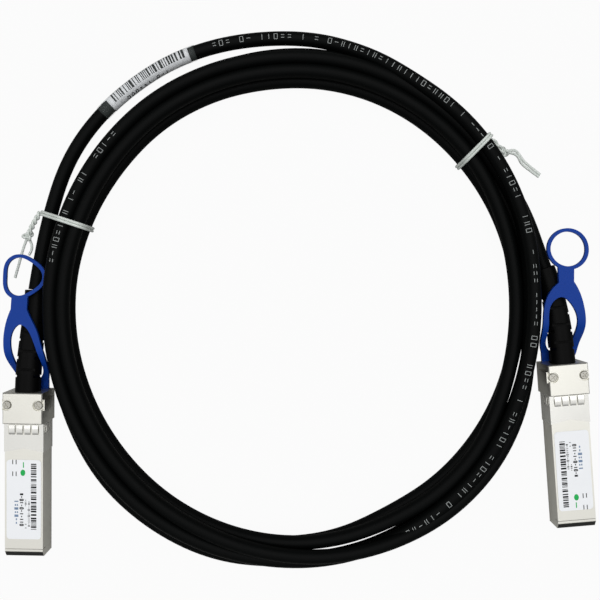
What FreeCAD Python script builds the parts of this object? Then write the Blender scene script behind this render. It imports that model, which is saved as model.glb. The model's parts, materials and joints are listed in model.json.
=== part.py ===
"""Direct attach copper cable: two small-form-factor plugs with pull tabs on one coiled cable.

Millimetres and degrees. The cable lies coiled on a flat surface at Z = 0, and each plug lies at
its own side of the coil. +Y runs from a plug's mating end towards its cable end, +Z is up, and
the origin is at the middle of the two plugs' box, at its foot.

Each plug is modelled in its own axes: Y = 0 at the flange where the nose meets the cage, Z = 0
at the underside of the body that slides into the cage.
"""

import FreeCAD, Part
import math
import os
import re

import Sketcher
from FreeCAD import Placement, Rotation, Vector

SIZES = {
    # shells
    "body_width": 13.5,
    "body_length": 48.0,
    "body_height": 8.5,
    "seam_height": 5.2,
    "wall": 1.0,
    "floor_height": 1.2,
    "roof": 0.9,
    "nose_width": 14.0,
    "nose_length": 11.0,
    "nose_drop": 2.0,
    "nose_rise": 1.5,
    "rear_wall": 1.2,
    "edge_bevel": 0.3,
    "cover_gap": 0.15,
    # mating end
    "end_wall": 2.8,
    "end_lip": 0.8,
    "lead_in_drop": 1.25,
    "mouth_width": 11.8,
    "mouth_low": 1.4,
    "mouth_high": 6.9,
    # screws of the cover
    "screw_across": 5.55,
    "screw_from_rear": 4.3,
    "head_radius": 1.5,
    "head_height": 0.8,
    "head_sink": 0.15,
    "shank_radius": 0.8,
    "shank_length": 5.4,
    "thread_gap": 0.05,
    "counterbore_gap": 0.4,
    "boss_wall": 0.85,
    "ear_width": 0.5,
    "ear_length": 3.9,
    "recess_width": 0.7,
    "recess_depth": 0.45,
    # slide release under the plug
    "sheet": 0.5,
    "slider_half": 5.0,
    "slider_gap": 0.15,
    "side_gap": 0.3,
    "tab_gap": 0.1,
    "front_wall": 0.8,
    "travel": 2.5,
    "prong_gap": 0.4,
    "prong_reach": 1.8,
    "hump_drop": 0.4,
    "joggle_start": 1.4,
    "joggle_run": 1.5,
    "slider_tail": 10.2,
    "post_width": 2.6,
    "post_back": 9.0,
    "post_length": 2.6,
    "post_drop": 0.65,
    "stop_half": 0.7,
    "stop_length": 1.1,
    "spring_seat": 4.6,
    "spring_radius": 0.46,
    "spring_wire": 0.09,
    "spring_turns": 5.0,
    # shield collar
    "collar_sheet": 0.2,
    "collar_length": 10.2,
    "collar_point": 1.4,
    "collar_under": 5.5,
    "finger_start": 0.3,
    "finger_length": 3.6,
    "finger_width": 2.1,
    "finger_pitch": 2.75,
    "finger_rise": 0.4,
    "finger_lap": 0.15,
    "slit": 0.3,
    # label
    "label_width": 12.2,
    "label_length": 28.5,
    "label_start": 13.0,
    "label_sheet": 0.12,
    "label_round": 1.2,
    # paddle card and cable end
    "card_width": 11.2,
    "card_sheet": 1.0,
    "card_low": 3.6,
    "card_inset": 1.2,
    "card_back": 12.0,
    "card_corner": 0.8,
    "ferrule_radius": 2.8,
    "ferrule_front": 0.3,
    "ferrule_back": 4.0,
    "ferrule_lip": 0.5,
    "wire_radius": 0.6,
    "wire_pitch": 1.5,
    "wire_lap": 1.5,
    # boot
    "boot_axis": 4.8,
    "boot_length": 36.0,
    "boot_width": 8.4,
    "boot_height": 8.2,
    "boot_end_width": 6.9,
    "boot_end_height": 6.7,
    "boot_core": 2.9,
    "neck_radius": 3.0,
    "neck_gap": 0.05,
    "flange_radius": 3.35,
    "flange_length": 1.6,
    "slot_width": 0.95,
    "slot_start": 5.3,
    "slot_pitch": 6.25,
    "slot_to_groove": 2.25,
    "slot_count": 4,
    # pull tab
    "tab_sheet": 1.1,
    "tab_low": 1.4,
    "arm_inner": 2.2,
    "arm_outer": 5.4,
    "ring_radius": 7.43,
    "ring_band": 1.25,
    # cable and what is tied round it
    "cable_radius": 2.5,
    "label_wrap": 0.15,
    "sleeve_wrap": 0.25,
    "tie_radius": 0.45,
    "coil_height": 13.4,
    "coil_layer": 5.2,
    "coil_inset": 3.0,
}

# Where each plug lies: flange centre and turn about Z, and how its boot bends: how far it reaches,
# how far its end moves aside, and how many degrees its end leans to the left of straight ahead.
PLUGS = {
    "left": {"x": -97.6, "y": -9.8, "turn": -1.0, "boot_reach": 36.0, "boot_shift": 0.6, "boot_lean": 0.0},
    "right": {"x": 94.9, "y": 0.4, "turn": 4.8, "boot_reach": 34.0, "boot_shift": -2.2, "boot_lean": 20.0},
}

# Half-ellipses of the coil's outline: centre and half axes, outside and inside.
COIL_OUTSIDE = {"x": -0.2, "y": 31.1, "across": 91.6, "along": 94.6}
COIL_INSIDE = {"x": -2.95, "y": 29.25, "across": 79.65, "along": 81.35}

# Routes of the two free ends of the cable, from the boot to the coil.
LEFT_ROUTE = [
    (-94.7, 47.5, 3.1),
    (-91.2, 64.5, 2.9),
    (-85.4, 82.7, 2.9),
    (-76.3, 97.1, 3.0),
    (-64.0, 109.3, 3.0),
    (-48.4, 119.9, 3.0),
    (-31.0, 126.3, 3.0),
    (-12.5, 129.1, 2.8),
    (6.0, 128.6, 2.9),
    (23.0, 124.6, 5.2),
    (36.5, 117.8, 8.2),
]
RIGHT_ROUTE = [(86.3, 53.5, 2.7), (83.3, 62.0, 2.6), (79.2, 70.6, 2.6)]
SLEEVE_POINT = 5  # the sleeve is centred between this point of the left route and the next

# Outlines of the two pull tabs in their plug's own axes, from the nose to the neck.
TAB_PLANS = {
    "left": {
        "outer_left": [(-5.4, 14.5), (-6.5, 18.5), (-7.2, 22.0), (-7.6, 26.5), (-7.5, 33.0), (-6.6, 37.8)],
        "outer_right": [(5.4, 14.5), (6.1, 18.0), (6.4, 21.0), (6.4, 24.6), (5.5, 28.0), (4.2, 32.1), (1.1, 37.8)],
        "inner": [(-2.2, 14.5), (-4.5, 18.5), (-4.8, 22.2), (-5.1, 27.0), (-4.3, 33.0), (-2.3, 34.8),
                  (-0.3, 34.1), (1.4, 32.1), (3.2, 28.2), (4.4, 24.0), (4.5, 18.5), (2.2, 14.5)],
        "neck": [(-5.8, 40.2), (-0.1, 40.2), (-0.1, 46.5), (-5.8, 46.5)],
        "ring": (-2.2, 51.8),
        "ring_grow": 0.3,
        "ring_stretch": -0.1,
        "ring_corners": 0.6,
    },
    "right": {
        "outer_left": [(-5.4, 14.5), (-6.4, 18.5), (-6.8, 23.0), (-6.6, 28.0), (-5.2, 33.5), (-2.7, 37.2)],
        "outer_right": [(5.4, 11.2), (6.9, 12.6), (7.9, 16.9), (8.3, 21.0), (8.3, 26.0), (7.9, 32.0), (6.7, 37.3)],
        "inner": [(-2.2, 14.5), (-4.6, 18.5), (-4.8, 23.0), (-4.7, 28.0), (-3.1, 32.6), (0.8, 34.5),
                  (3.8, 31.6), (5.3, 27.4), (5.5, 24.0), (5.3, 20.5), (4.7, 17.5), (2.2, 14.5)],
        "neck": [(0.3, 39.6), (5.65, 39.6), (6.5, 45.5), (0.75, 45.5)],
        "ring": (4.95, 51.3),
        "ring_grow": 0.0,
        "ring_stretch": 0.0,
        "ring_corners": 0.0,
    },
}
# Height of the tabs' middle sheet above the plug's underside, from the nose to the ring's end.
TAB_RISE = [(17.0, 0.6), (20.5, 3.6), (24.8, 6.7), (29.5, 7.1), (35.5, 6.2), (42.0, 5.1), (50.0, 3.9), (60.0, 2.9)]

TIES = {
    "left": {
        "outer": (-95.4, 65.6),
        "inner": (-76.2, 59.3),
        "knot": (-99.4, 56.6, 1.3),
        "tails": [[(-99.4, 56.6, 1.3), (-102.0, 49.5, 0.6), (-104.6, 41.8, 0.5)],
                  [(-99.4, 56.6, 1.3), (-98.6, 53.0, 0.8), (-99.6, 50.6, 0.5)]],
    },
    "right": {
        "outer": (69.6, 94.3),
        "inner": (57.6, 81.9),
        "knot": (74.2, 87.4, 2.2),
        "tails": [[(74.2, 87.4, 2.2), (80.0, 84.4, 0.9), (87.6, 79.0, 0.5)],
                  [(74.2, 87.4, 2.2), (79.4, 86.6, 1.2), (88.4, 80.6, 0.6)]],
    },
}

doc = FreeCAD.newDocument("direct_attach_cable")
sheet = doc.addObject("Spreadsheet::Sheet", "Sizes")
for row, (alias, number) in enumerate(SIZES.items(), start=1):
    sheet.set(f"A{row}", alias)
    sheet.set(f"B{row}", str(number))
    sheet.setAlias(f"B{row}", alias)
doc.recompute()

parts = {}


def size(alias):
    """Value of one cell of the sheet."""
    return float(getattr(sheet, alias))


def sized(expression):
    """The expression with each size's name pointing at the sheet."""
    return re.sub(r"[a-z_]+", lambda word: f"Sizes.{word[0]}" if word[0] in SIZES else word[0], expression)


def bind(thing, **expressions):
    """Tie properties of an object to expressions of the sheet's sizes."""
    for name, expression in expressions.items():
        thing.setExpression(name.replace("__", "."), sized(expression))
    return thing


def plug_placement(side):
    """Where a plug lies: on the foot of its nose and the foot of its mating end."""
    spot = PLUGS[side]
    pitch = math.atan2(size("nose_drop"), size("body_length"))
    lift = size("body_length") * math.sin(pitch)
    turn = Rotation(Vector(0, 0, 1), spot["turn"]) * Rotation(Vector(1, 0, 0), math.degrees(pitch))
    return Placement(Vector(spot["x"], spot["y"], lift), turn)


def keep(name, thing, placement=None):
    """Record a finished sub-part under its own label, set down where its plug lies."""
    thing.Label = name
    if placement:
        thing.Placement = placement
    parts[name] = thing
    return thing


def solid(name, shape):
    """A sub-part whose shape is worked out with Part's own functions."""
    feature = doc.addObject("Part::Feature", name)
    feature.Shape = shape
    return feature


# ---------------------------------------------------------------- sketched features


def outline(body, name, role, points, offset="0"):
    """Closed outline of straight lines on one of the body's origin planes."""
    sketch = body.newObject("Sketcher::SketchObject", f"{body.Name}_{name}")
    plane = next(f for f in body.Origin.OriginFeatures if f.Role == role)
    sketch.AttachmentSupport = [(plane, "")]
    sketch.MapMode = "FlatFace"
    sketch.setExpression("AttachmentOffset.Base.z", sized(offset))
    count = len(points)
    start = [Vector(math.cos(math.tau * k / count), math.sin(math.tau * k / count), 0) for k in range(count)]
    for k in range(count):
        sketch.addGeometry(Part.LineSegment(start[k], start[(k + 1) % count]), False)
    for k in range(count):
        sketch.addConstraint(Sketcher.Constraint("Coincident", k, 2, (k + 1) % count, 1))
    for k, point in enumerate(points):
        for kind, axis, value, expression in zip(("DistanceX", "DistanceY"), "xy", start[k], point):
            index = sketch.addConstraint(Sketcher.Constraint(kind, -1, 1, k, 1, value))
            sketch.renameConstraint(index, f"{axis}{k}")
            sketch.setExpression(f"Constraints.{axis}{k}", sized(expression))
    return sketch


def rectangle(body, name, role, across, along, offset="0"):
    """Rectangle between two expressions each way."""
    (left, right), (low, high) = across, along
    points = [(left, low), (right, low), (right, high), (left, high)]
    return outline(body, name, role, points, offset)


def circle(body, name, role, centre, radius, offset="0"):
    """Circle on one of the body's origin planes."""
    sketch = body.newObject("Sketcher::SketchObject", f"{body.Name}_{name}")
    plane = next(f for f in body.Origin.OriginFeatures if f.Role == role)
    sketch.AttachmentSupport = [(plane, "")]
    sketch.MapMode = "FlatFace"
    sketch.setExpression("AttachmentOffset.Base.z", sized(offset))
    sketch.addGeometry(Part.Circle(Vector(1, 1, 0), Vector(0, 0, 1), 1.0), False)
    constraints = (
        ("radius", Sketcher.Constraint("Radius", 0, 1.0), radius),
        ("x0", Sketcher.Constraint("DistanceX", -1, 1, 0, 3, 1.0), centre[0]),
        ("y0", Sketcher.Constraint("DistanceY", -1, 1, 0, 3, 1.0), centre[1]),
    )
    for label, constraint, expression in constraints:
        sketch.renameConstraint(sketch.addConstraint(constraint), label)
        sketch.setExpression(f"Constraints.{label}", sized(expression))
    return sketch


def extrude(body, kind, sketch, length, reverse=False):
    """Pad or pocket of a sketch; a pocket runs against the sketch's normal unless reversed."""
    feature = body.newObject(f"PartDesign::{kind}", f"{sketch.Name}_{kind.lower()}")
    feature.Profile = sketch
    feature.Reversed = reverse
    feature.setExpression("Length", sized(length))
    sketch.Visibility = False
    return feature


def pad(body, sketch, length, reverse=False):
    return extrude(body, "Pad", sketch, length, reverse)


def pocket(body, sketch, length, reverse=False):
    """Pocket that must take material away."""
    before = body.Tip
    doc.recompute()
    volume = before.Shape.Volume
    feature = extrude(body, "Pocket", sketch, length, reverse)
    doc.recompute()
    if not feature.Shape.Volume < volume - 1e-3:
        raise ValueError(f"{feature.Name} cuts nothing")
    return feature


def dress(body, kind, name, test, **sizes):
    """Chamfer or fillet of the straight edges that pass the test."""
    doc.recompute()
    base = body.Tip
    edges = [f"Edge{k}" for k, edge in enumerate(base.Shape.Edges, start=1) if test(edge)]
    feature = body.newObject(f"PartDesign::{kind}", f"{body.Name}_{name}")
    feature.Base = (base, edges)
    bind(feature, **sizes)
    doc.recompute()
    return feature


# ---------------------------------------------------------------- primitives


def rod(name, radius, length, at, axis):
    """Cylinder from a point along an axis."""
    cylinder = bind(doc.addObject("Part::Cylinder", name), Radius=radius, Height=length)
    cylinder.Placement.Rotation = Rotation(Vector(0, 0, 1), axis)
    for letter, expression in zip("xyz", at):
        cylinder.setExpression(f"Placement.Base.{letter}", sized(expression))
    return cylinder


def fuse(name, shapes):
    """Union of several objects."""
    union = doc.addObject("Part::MultiFuse", name)
    union.Shapes = shapes
    return union


def cut(name, base, tool):
    """One object less another."""
    difference = doc.addObject("Part::Cut", name)
    difference.Base = base
    difference.Tool = tool
    return difference


# ---------------------------------------------------------------- shells


def screw_spots():
    """Expressions for the two cover screws: sign and centre across and along."""
    return [("left", "-screw_across"), ("right", "screw_across")]


def make_base(side):
    """Lower die casting: tray, lower nose with the release channel, and the mating end."""
    body = doc.addObject("PartDesign::Body", f"{side}_base")
    half = ("-body_width / 2", "body_width / 2")
    pad(body, rectangle(body, "tray", "XY_Plane", half, ("-body_length", "0")), "seam_height")
    nose = rectangle(body, "nose", "XY_Plane", ("-nose_width / 2", "nose_width / 2"),
                     ("0", "nose_length"), "-nose_drop")
    pad(body, nose, "nose_drop + seam_height")
    end = rectangle(body, "end", "XY_Plane", half, ("-body_length", "-body_length + end_wall"), "seam_height")
    pad(body, end, "body_height - seam_height")
    for name, edge in (("left_ear", "-nose_width / 2 - ear_width"), ("right_ear", "nose_width / 2")):
        ear = rectangle(body, name, "XY_Plane", (edge, f"{edge} + ear_width"),
                        ("nose_length - screw_from_rear - ear_length / 2",
                         "nose_length - screw_from_rear + ear_length / 2"), "0")
        pad(body, ear, "seam_height")

    inside = ("-body_width / 2 + wall", "body_width / 2 - wall")
    cavity = rectangle(body, "cavity", "XY_Plane", inside,
                       ("-body_length + end_wall", "nose_length - rear_wall"), "seam_height")
    pocket(body, cavity, "seam_height - floor_height")
    mouth = rectangle(body, "mouth", "XZ_Plane", ("-mouth_width / 2", "mouth_width / 2"),
                      ("mouth_low", "mouth_high"), "body_length + 1")
    pocket(body, mouth, "end_wall + 1.5")
    lead_in = outline(body, "lead_in", "YZ_Plane",
                      [("-body_length - 1", "body_height + 1"), ("-body_length - 1", "body_height - lead_in_drop"),
                       ("-body_length", "body_height - lead_in_drop"),
                       ("-body_length + end_wall - end_lip", "body_height"),
                       ("-body_length + end_wall - end_lip", "body_height + 1")], "body_width / 2 + 1")
    pocket(body, lead_in, "body_width + 2")
    neck = circle(body, "neck", "XZ_Plane", ("0", "boot_axis"), "neck_radius + neck_gap", "-nose_length - 1")
    pocket(body, neck, "rear_wall + 2", reverse=True)

    channel = rectangle(body, "channel", "XZ_Plane",
                        ("-arm_outer - side_gap", "arm_outer + side_gap"),
                        ("-tab_low - tab_gap", "-tab_low + tab_sheet + tab_gap"), "-nose_length - 1")
    pocket(body, channel, "nose_length + 1 - front_wall", reverse=True)
    ramp = rectangle(body, "ramp", "XY_Plane", ("-slider_half - side_gap", "slider_half + side_gap"),
                     ("front_wall", "joggle_start + joggle_run + travel + side_gap"),
                     "-tab_low - tab_gap")
    pocket(body, ramp, "tab_low + tab_gap + sheet + 2 * slider_gap", reverse=True)
    recess = rectangle(body, "recess", "XY_Plane", ("-slider_half - side_gap", "slider_half + side_gap"),
                       ("-post_back - post_length - prong_reach - side_gap * 2", "front_wall"), "0")
    pocket(body, recess, "sheet + 2 * slider_gap", reverse=True)

    post = outline(body, "post", "YZ_Plane",
                   [("-post_back", "sheet + 2 * slider_gap"), ("-post_back", "-post_drop"),
                    ("-post_back - post_length / 4", "-post_drop"), ("-post_back - post_length", "0"),
                    ("-post_back - post_length", "sheet + 2 * slider_gap")], "-post_width / 2")
    pad(body, post, "post_width")
    stop = rectangle(body, "stop", "XY_Plane", ("-stop_half", "stop_half"),
                     ("nose_length - stop_length", "nose_length"), "-tab_low - tab_gap")
    pad(body, stop, "tab_sheet + 2 * tab_gap")
    for name, across in screw_spots():
        along = "nose_length - screw_from_rear"
        boss = circle(body, f"{name}_boss", "XY_Plane", (across, along), "shank_radius + boss_wall", "floor_height")
        pad(body, boss, "seam_height - floor_height")
        hole = circle(body, f"{name}_hole", "XY_Plane", (across, along), "shank_radius + thread_gap", "seam_height")
        pocket(body, hole, "seam_height - floor_height")
    doc.recompute()
    keep(f"{side}_base", body, plug_placement(side))


def make_cover(side):
    """Upper die casting: the label face and the nose's screwed plate."""
    body = doc.addObject("PartDesign::Body", f"{side}_cover")
    top = "body_height + nose_rise"
    front = "-body_length + end_wall + cover_gap"
    pad(body, rectangle(body, "lid", "XY_Plane", ("-body_width / 2", "body_width / 2"), (front, "0"),
                        "seam_height"), "body_height - seam_height")
    pad(body, rectangle(body, "nose", "XY_Plane", ("-nose_width / 2", "nose_width / 2"),
                        ("0", "nose_length"), "seam_height"), f"{top} - seam_height")
    rim = size("body_height") + size("nose_rise") - 1e-6
    dress(body, "Chamfer", "bevel", lambda edge: edge.BoundBox.ZMin > rim, Size="edge_bevel")

    for name, edge in (("left_ear", "-nose_width / 2 - ear_width"), ("right_ear", "nose_width / 2 - wall")):
        ear = rectangle(body, name, "XY_Plane", (edge, f"{edge} + ear_width + wall"),
                        ("nose_length - screw_from_rear - ear_length / 2",
                         "nose_length - screw_from_rear + ear_length / 2"), "seam_height")
        pad(body, ear, f"{top} - head_height - head_sink - seam_height")
    inside = ("-body_width / 2 + wall", "body_width / 2 - wall")
    pocket(body, rectangle(body, "hollow", "XY_Plane", inside, (f"{front} + wall", "0.5"), "seam_height"),
           "body_height - roof - seam_height", reverse=True)
    pocket(body, rectangle(body, "nose_hollow", "XY_Plane", inside, ("0", "nose_length - rear_wall"),
                           "seam_height"), f"{top} - 2 * roof - seam_height", reverse=True)
    neck = circle(body, "neck", "XZ_Plane", ("0", "boot_axis"), "neck_radius + neck_gap", "-nose_length - 1")
    pocket(body, neck, "rear_wall + 2", reverse=True)
    for name, across in screw_spots():
        along = "nose_length - screw_from_rear"
        boss = circle(body, f"{name}_boss", "XY_Plane", (across, along), "shank_radius + boss_wall", "seam_height")
        pad(body, boss, f"{top} - roof - seam_height")
        sink = circle(body, f"{name}_sink", "XY_Plane", (across, along), "head_radius + counterbore_gap", top)
        pocket(body, sink, "head_height + head_sink")
        hole = circle(body, f"{name}_hole", "XY_Plane", (across, along), "shank_radius + thread_gap", top)
        pocket(body, hole, f"{top} - seam_height")
    doc.recompute()
    keep(f"{side}_cover", body, plug_placement(side))


def make_screws(side):
    """Two cross-recess screws as one group of separate solids."""
    top = "body_height + nose_rise - head_sink"
    screws = []
    for name, across in screw_spots():
        tag = f"{side}_{name}_screw"
        along = "nose_length - screw_from_rear"
        head = rod(f"{tag}_head", "head_radius", "head_height", (across, along, f"{top} - head_height"), Vector(0, 0, 1))
        shank = rod(f"{tag}_shank", "shank_radius", "shank_length",
                    (across, along, f"{top} - head_height - shank_length"), Vector(0, 0, 1))
        rounded = doc.addObject("Part::Chamfer", f"{tag}_rounded")
        rounded.Base = head
        doc.recompute()
        rim = [k for k, edge in enumerate(head.Shape.Edges, start=1)
               if edge.BoundBox.ZLength < 1e-6 and edge.BoundBox.ZMin > size("body_height") + size("nose_rise") - 0.5]
        rounded.Edges = [(k, size("recess_depth") / 2, size("recess_depth") / 2) for k in rim]
        bars = []
        for turn in (35, 125):
            bar = doc.addObject("Part::Box", f"{tag}_bar{turn}")
            bind(bar, Length="head_radius * 1.3", Width="recess_width / 2", Height="recess_depth + 1")
            middle = Placement(Vector(0, 0, 0), Rotation(Vector(0, 0, 1), turn))
            corner = Placement(Vector(-size("head_radius") * 0.65, -size("recess_width") / 4, 0), Rotation())
            spot = Vector(size("screw_across") * (-1 if name == "left" else 1),
                          size("nose_length") - size("screw_from_rear"),
                          size("body_height") + size("nose_rise") - size("head_sink") - size("recess_depth"))
            bar.Placement = Placement(spot, Rotation()) * middle * corner
            bars.append(bar)
        cross = fuse(f"{tag}_cross", bars)
        screws.append(cut(tag, fuse(f"{tag}_blank", [rounded, shank]), cross))
    doc.recompute()
    group = solid(f"{side}_cover_screws", Part.makeCompound([s.Shape for s in screws]))
    keep(group.Name, group, plug_placement(side))


# ---------------------------------------------------------------- shield collar


def finger_arch(turn, across, height):
    """One curved contact finger: a short stretch of a tube that bridges its window at both ends."""
    chord, rise, skin = size("finger_length"), size("finger_rise"), size("collar_sheet")
    width, lap = size("finger_width"), size("finger_lap")
    radius = (chord * chord / 4 + rise * rise) / (2 * rise)
    foot = Vector(-width / 2, -size("finger_start") - chord / 2, height + skin / 2 + rise - radius)
    outer = Part.makeCylinder(radius + skin / 2, width, foot, Vector(1, 0, 0))
    inner = Part.makeCylinder(radius - skin / 2, width, foot, Vector(1, 0, 0))
    window = Part.makeBox(width, chord + 2 * lap, rise + 2 * skin,
                          Vector(-width / 2, foot.y - chord / 2 - lap, height))
    arch = outer.cut(inner).common(window)
    arch.translate(Vector(across, 0, 0))
    arch.rotate(Vector(0, 0, 0), Vector(0, 1, 0), turn)
    arch.translate(Vector(0, 0, size("body_height") / 2))
    return arch


def make_collar(side):
    """Stamped shield collar wrapped round the body behind the flange, with curved contact fingers."""
    width, height, skin = size("body_width"), size("body_height"), size("collar_sheet")
    length, start, reach = size("collar_length"), size("finger_start"), size("finger_length")
    sleeve = Part.makeBox(width + 2 * skin, length, height + 2 * skin, Vector(-width / 2 - skin, -length, -skin))
    sleeve = sleeve.cut(Part.makeBox(width, length, height, Vector(-width / 2, -length, 0)))
    point = [Vector(-width, -length - 1, height / 2), Vector(-width / 2 - skin, -length, height / 2),
             Vector(0, -length + size("collar_point"), height / 2), Vector(width / 2 + skin, -length, height / 2),
             Vector(width, -length - 1, height / 2)]
    notch = Part.Face(Part.makePolygon(point + point[:1])).extrude(Vector(0, 0, height))
    under = Part.makeBox(width - 2, length, skin * 3, Vector(-width / 2 + 1, -length - size("collar_under"), -skin * 2))
    sleeve = sleeve.cut(notch).cut(under)

    arches = []
    for turn, count, flat in ((0, 4, height / 2), (180, 4, height / 2), (90, 2, width / 2), (270, 2, width / 2)):
        span = (count - 1) * size("finger_pitch") + size("finger_width") + 2 * size("slit")
        window = Part.makeBox(span, reach, 4 * skin, Vector(-span / 2, -start - reach, flat - skin))
        window.rotate(Vector(0, 0, 0), Vector(0, 1, 0), turn)
        window.translate(Vector(0, 0, height / 2))
        sleeve = sleeve.cut(window)
        for k in range(count):
            across = (k - (count - 1) / 2) * size("finger_pitch")
            arches.append(finger_arch(turn, across, flat))
    collar = sleeve.multiFuse(arches).removeSplitter()
    keep(f"{side}_emi_collar", solid(f"{side}_emi_collar", collar), plug_placement(side))


# ---------------------------------------------------------------- label, card and cable end


def make_label(side):
    """Rounded paper label on the cover."""
    body = doc.addObject("PartDesign::Body", f"{side}_plug_label")
    plan = rectangle(body, "plan", "XY_Plane", ("-label_width / 2", "label_width / 2"),
                     ("-label_start - label_length", "-label_start"), "body_height")
    pad(body, plan, "label_sheet")
    dress(body, "Fillet", "corners", lambda edge: edge.BoundBox.ZLength > 1e-3, Radius="label_round")
    keep(f"{side}_plug_label", body, plug_placement(side))


def make_card(side):
    """Paddle card whose front edge is what the host's connector grips."""
    body = doc.addObject("PartDesign::Body", f"{side}_paddle_card")
    front, half = "-body_length + card_inset", "card_width / 2"
    plan = outline(body, "plan", "XY_Plane",
                   [(f"-{half} + card_corner", front), (f"{half} - card_corner", front),
                    (half, f"{front} + card_corner"), (half, "-card_back"), (f"-{half}", "-card_back"),
                    (f"-{half}", f"{front} + card_corner")], "card_low")
    pad(body, plan, "card_sheet")
    doc.recompute()
    keep(f"{side}_paddle_card", body, plug_placement(side))


def make_wires(side):
    """Four insulated cores from the ferrule to the card: one pair on each face."""
    rods = []
    for row, height in (("upper", "card_low + card_sheet + wire_radius"), ("lower", "card_low - wire_radius")):
        for place, across in (("left", "-wire_pitch / 2"), ("right", "wire_pitch / 2")):
            rods.append(rod(f"{side}_{row}_{place}_core", "wire_radius", "card_back + wire_lap + ferrule_front",
                            (across, "-card_back - wire_lap", height), Vector(0, 1, 0)))
    doc.recompute()
    group = solid(f"{side}_wire_pairs", Part.makeCompound([r.Shape for r in rods]))
    keep(group.Name, group, plug_placement(side))


def make_ferrule(side):
    """Crimp ferrule that clamps the cable's braid, with a collar at its front."""
    foot = ("0", "ferrule_front", "boot_axis")
    barrel = rod(f"{side}_barrel", "ferrule_radius", "ferrule_back - ferrule_front", foot, Vector(0, 1, 0))
    lip = rod(f"{side}_lip", "ferrule_radius + ferrule_lip", "2 * ferrule_lip", foot, Vector(0, 1, 0))
    keep(f"{side}_cable_ferrule", fuse(f"{side}_cable_ferrule", [barrel, lip]), plug_placement(side))


# ---------------------------------------------------------------- boot


def boot_curve(side):
    """Line along the middle of the boot: straight out of the nose, then down to the table."""
    spot, placement = PLUGS[side], plug_placement(side)
    length = size("boot_length") * spot["boot_reach"] / PLUGS["left"]["boot_reach"]
    start = Vector(0, size("nose_length"), size("boot_axis"))
    end = Vector(spot["boot_shift"], size("nose_length") + length, 0)
    foot = placement.multVec(end)
    end.z = size("boot_end_height") / 2 + 0.1 - foot.z
    lean = math.radians(spot["boot_lean"])
    heading = placement.Rotation.inverted().multVec(Vector(-math.sin(lean), math.cos(lean), -0.02).normalize())
    poles = [start, start + Vector(0, length / 3, 0), end - heading * (length / 3), end]
    curve = Part.BezierCurve()
    curve.setPoles(poles)
    return curve


def boot_frame(curve, share):
    """Placement on the boot's middle line whose Y axis runs along it."""
    point, along = curve.value(share), curve.tangent(share)[0]
    across = along.cross(Vector(0, 0, 1)).normalize()
    return Placement(point, Rotation(across, along, across.cross(along), "ZXY"))


def rounded_section(width, height, placement):
    """Closed outline of a rounded rectangle across the boot."""
    radius = 0.42 * min(width, height)
    x, z = width / 2 - radius, height / 2 - radius
    edges = []
    for turn, (cx, cz) in enumerate(((x, z), (-x, z), (-x, -z), (x, -z))):
        middle = Vector(cx, 0, cz)
        ends = [middle + Vector(radius * math.cos(a), 0, radius * math.sin(a))
                for a in (math.radians(90 * turn + step) for step in (0, 45, 90))]
        edges.append(Part.Arc(*ends).toShape())
    ring = []
    for k, arc in enumerate(edges):
        ring.append(arc)
        ring.append(Part.LineSegment(arc.lastVertex().Point, edges[(k + 1) % 4].firstVertex().Point).toShape())
    wire = Part.Wire(ring)
    wire.Placement = placement
    return wire


def slot_tools(curve, share, upright):
    """Two boxes that leave the boot's core web: left and right of it, or above and below."""
    frame, core, width = boot_frame(curve, share), size("boot_core"), size("slot_width")
    tools = []
    for sign in (-1, 1):
        if upright:
            box = Part.makeBox(20, width, 10, Vector(-10, -width / 2, core if sign > 0 else -core - 10))
        else:
            box = Part.makeBox(10, width, 20, Vector(core if sign > 0 else -core - 10, -width / 2, -10))
        box.Placement = frame
        tools.append(box)
    return tools


def make_boot(side):
    """Moulded bend relief: tapered, slotted from both sides and from above and below by turns."""
    curve, length = boot_curve(side), size("boot_length")
    sections, count = [], 7
    for k in range(count):
        share = k / (count - 1)
        width = size("boot_width") + (size("boot_end_width") - size("boot_width")) * share ** 2
        height = size("boot_height") + (size("boot_end_height") - size("boot_height")) * share ** 2
        sections.append(rounded_section(width, height, boot_frame(curve, share)))
    boot = Part.makeLoft(sections, True, True)
    for k in range(int(size("slot_count"))):
        along = size("slot_start") + k * size("slot_pitch")
        for tool in slot_tools(curve, along / length, False):
            boot = boot.cut(tool)
        if k < int(size("slot_count")) - 1:
            for tool in slot_tools(curve, (along + size("slot_to_groove")) / length, True):
                boot = boot.cut(tool)
    rear, axis = size("nose_length") - size("rear_wall"), size("boot_axis")
    neck = Part.makeCylinder(size("neck_radius"), size("rear_wall") + 0.5, Vector(0, rear, axis), Vector(0, 1, 0))
    flange = Part.makeCylinder(size("flange_radius"), size("flange_length"),
                               Vector(0, rear - size("flange_length"), axis), Vector(0, 1, 0))
    stub = Part.makeCylinder(size("cable_radius"), rear - size("flange_length") - size("ferrule_back"),
                             Vector(0, size("ferrule_back"), axis), Vector(0, 1, 0))
    boot = boot.multiFuse([neck, flange, stub]).removeSplitter()
    keep(f"{side}_boot", solid(f"{side}_boot", boot), plug_placement(side))
    return curve


# ---------------------------------------------------------------- slide release


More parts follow.
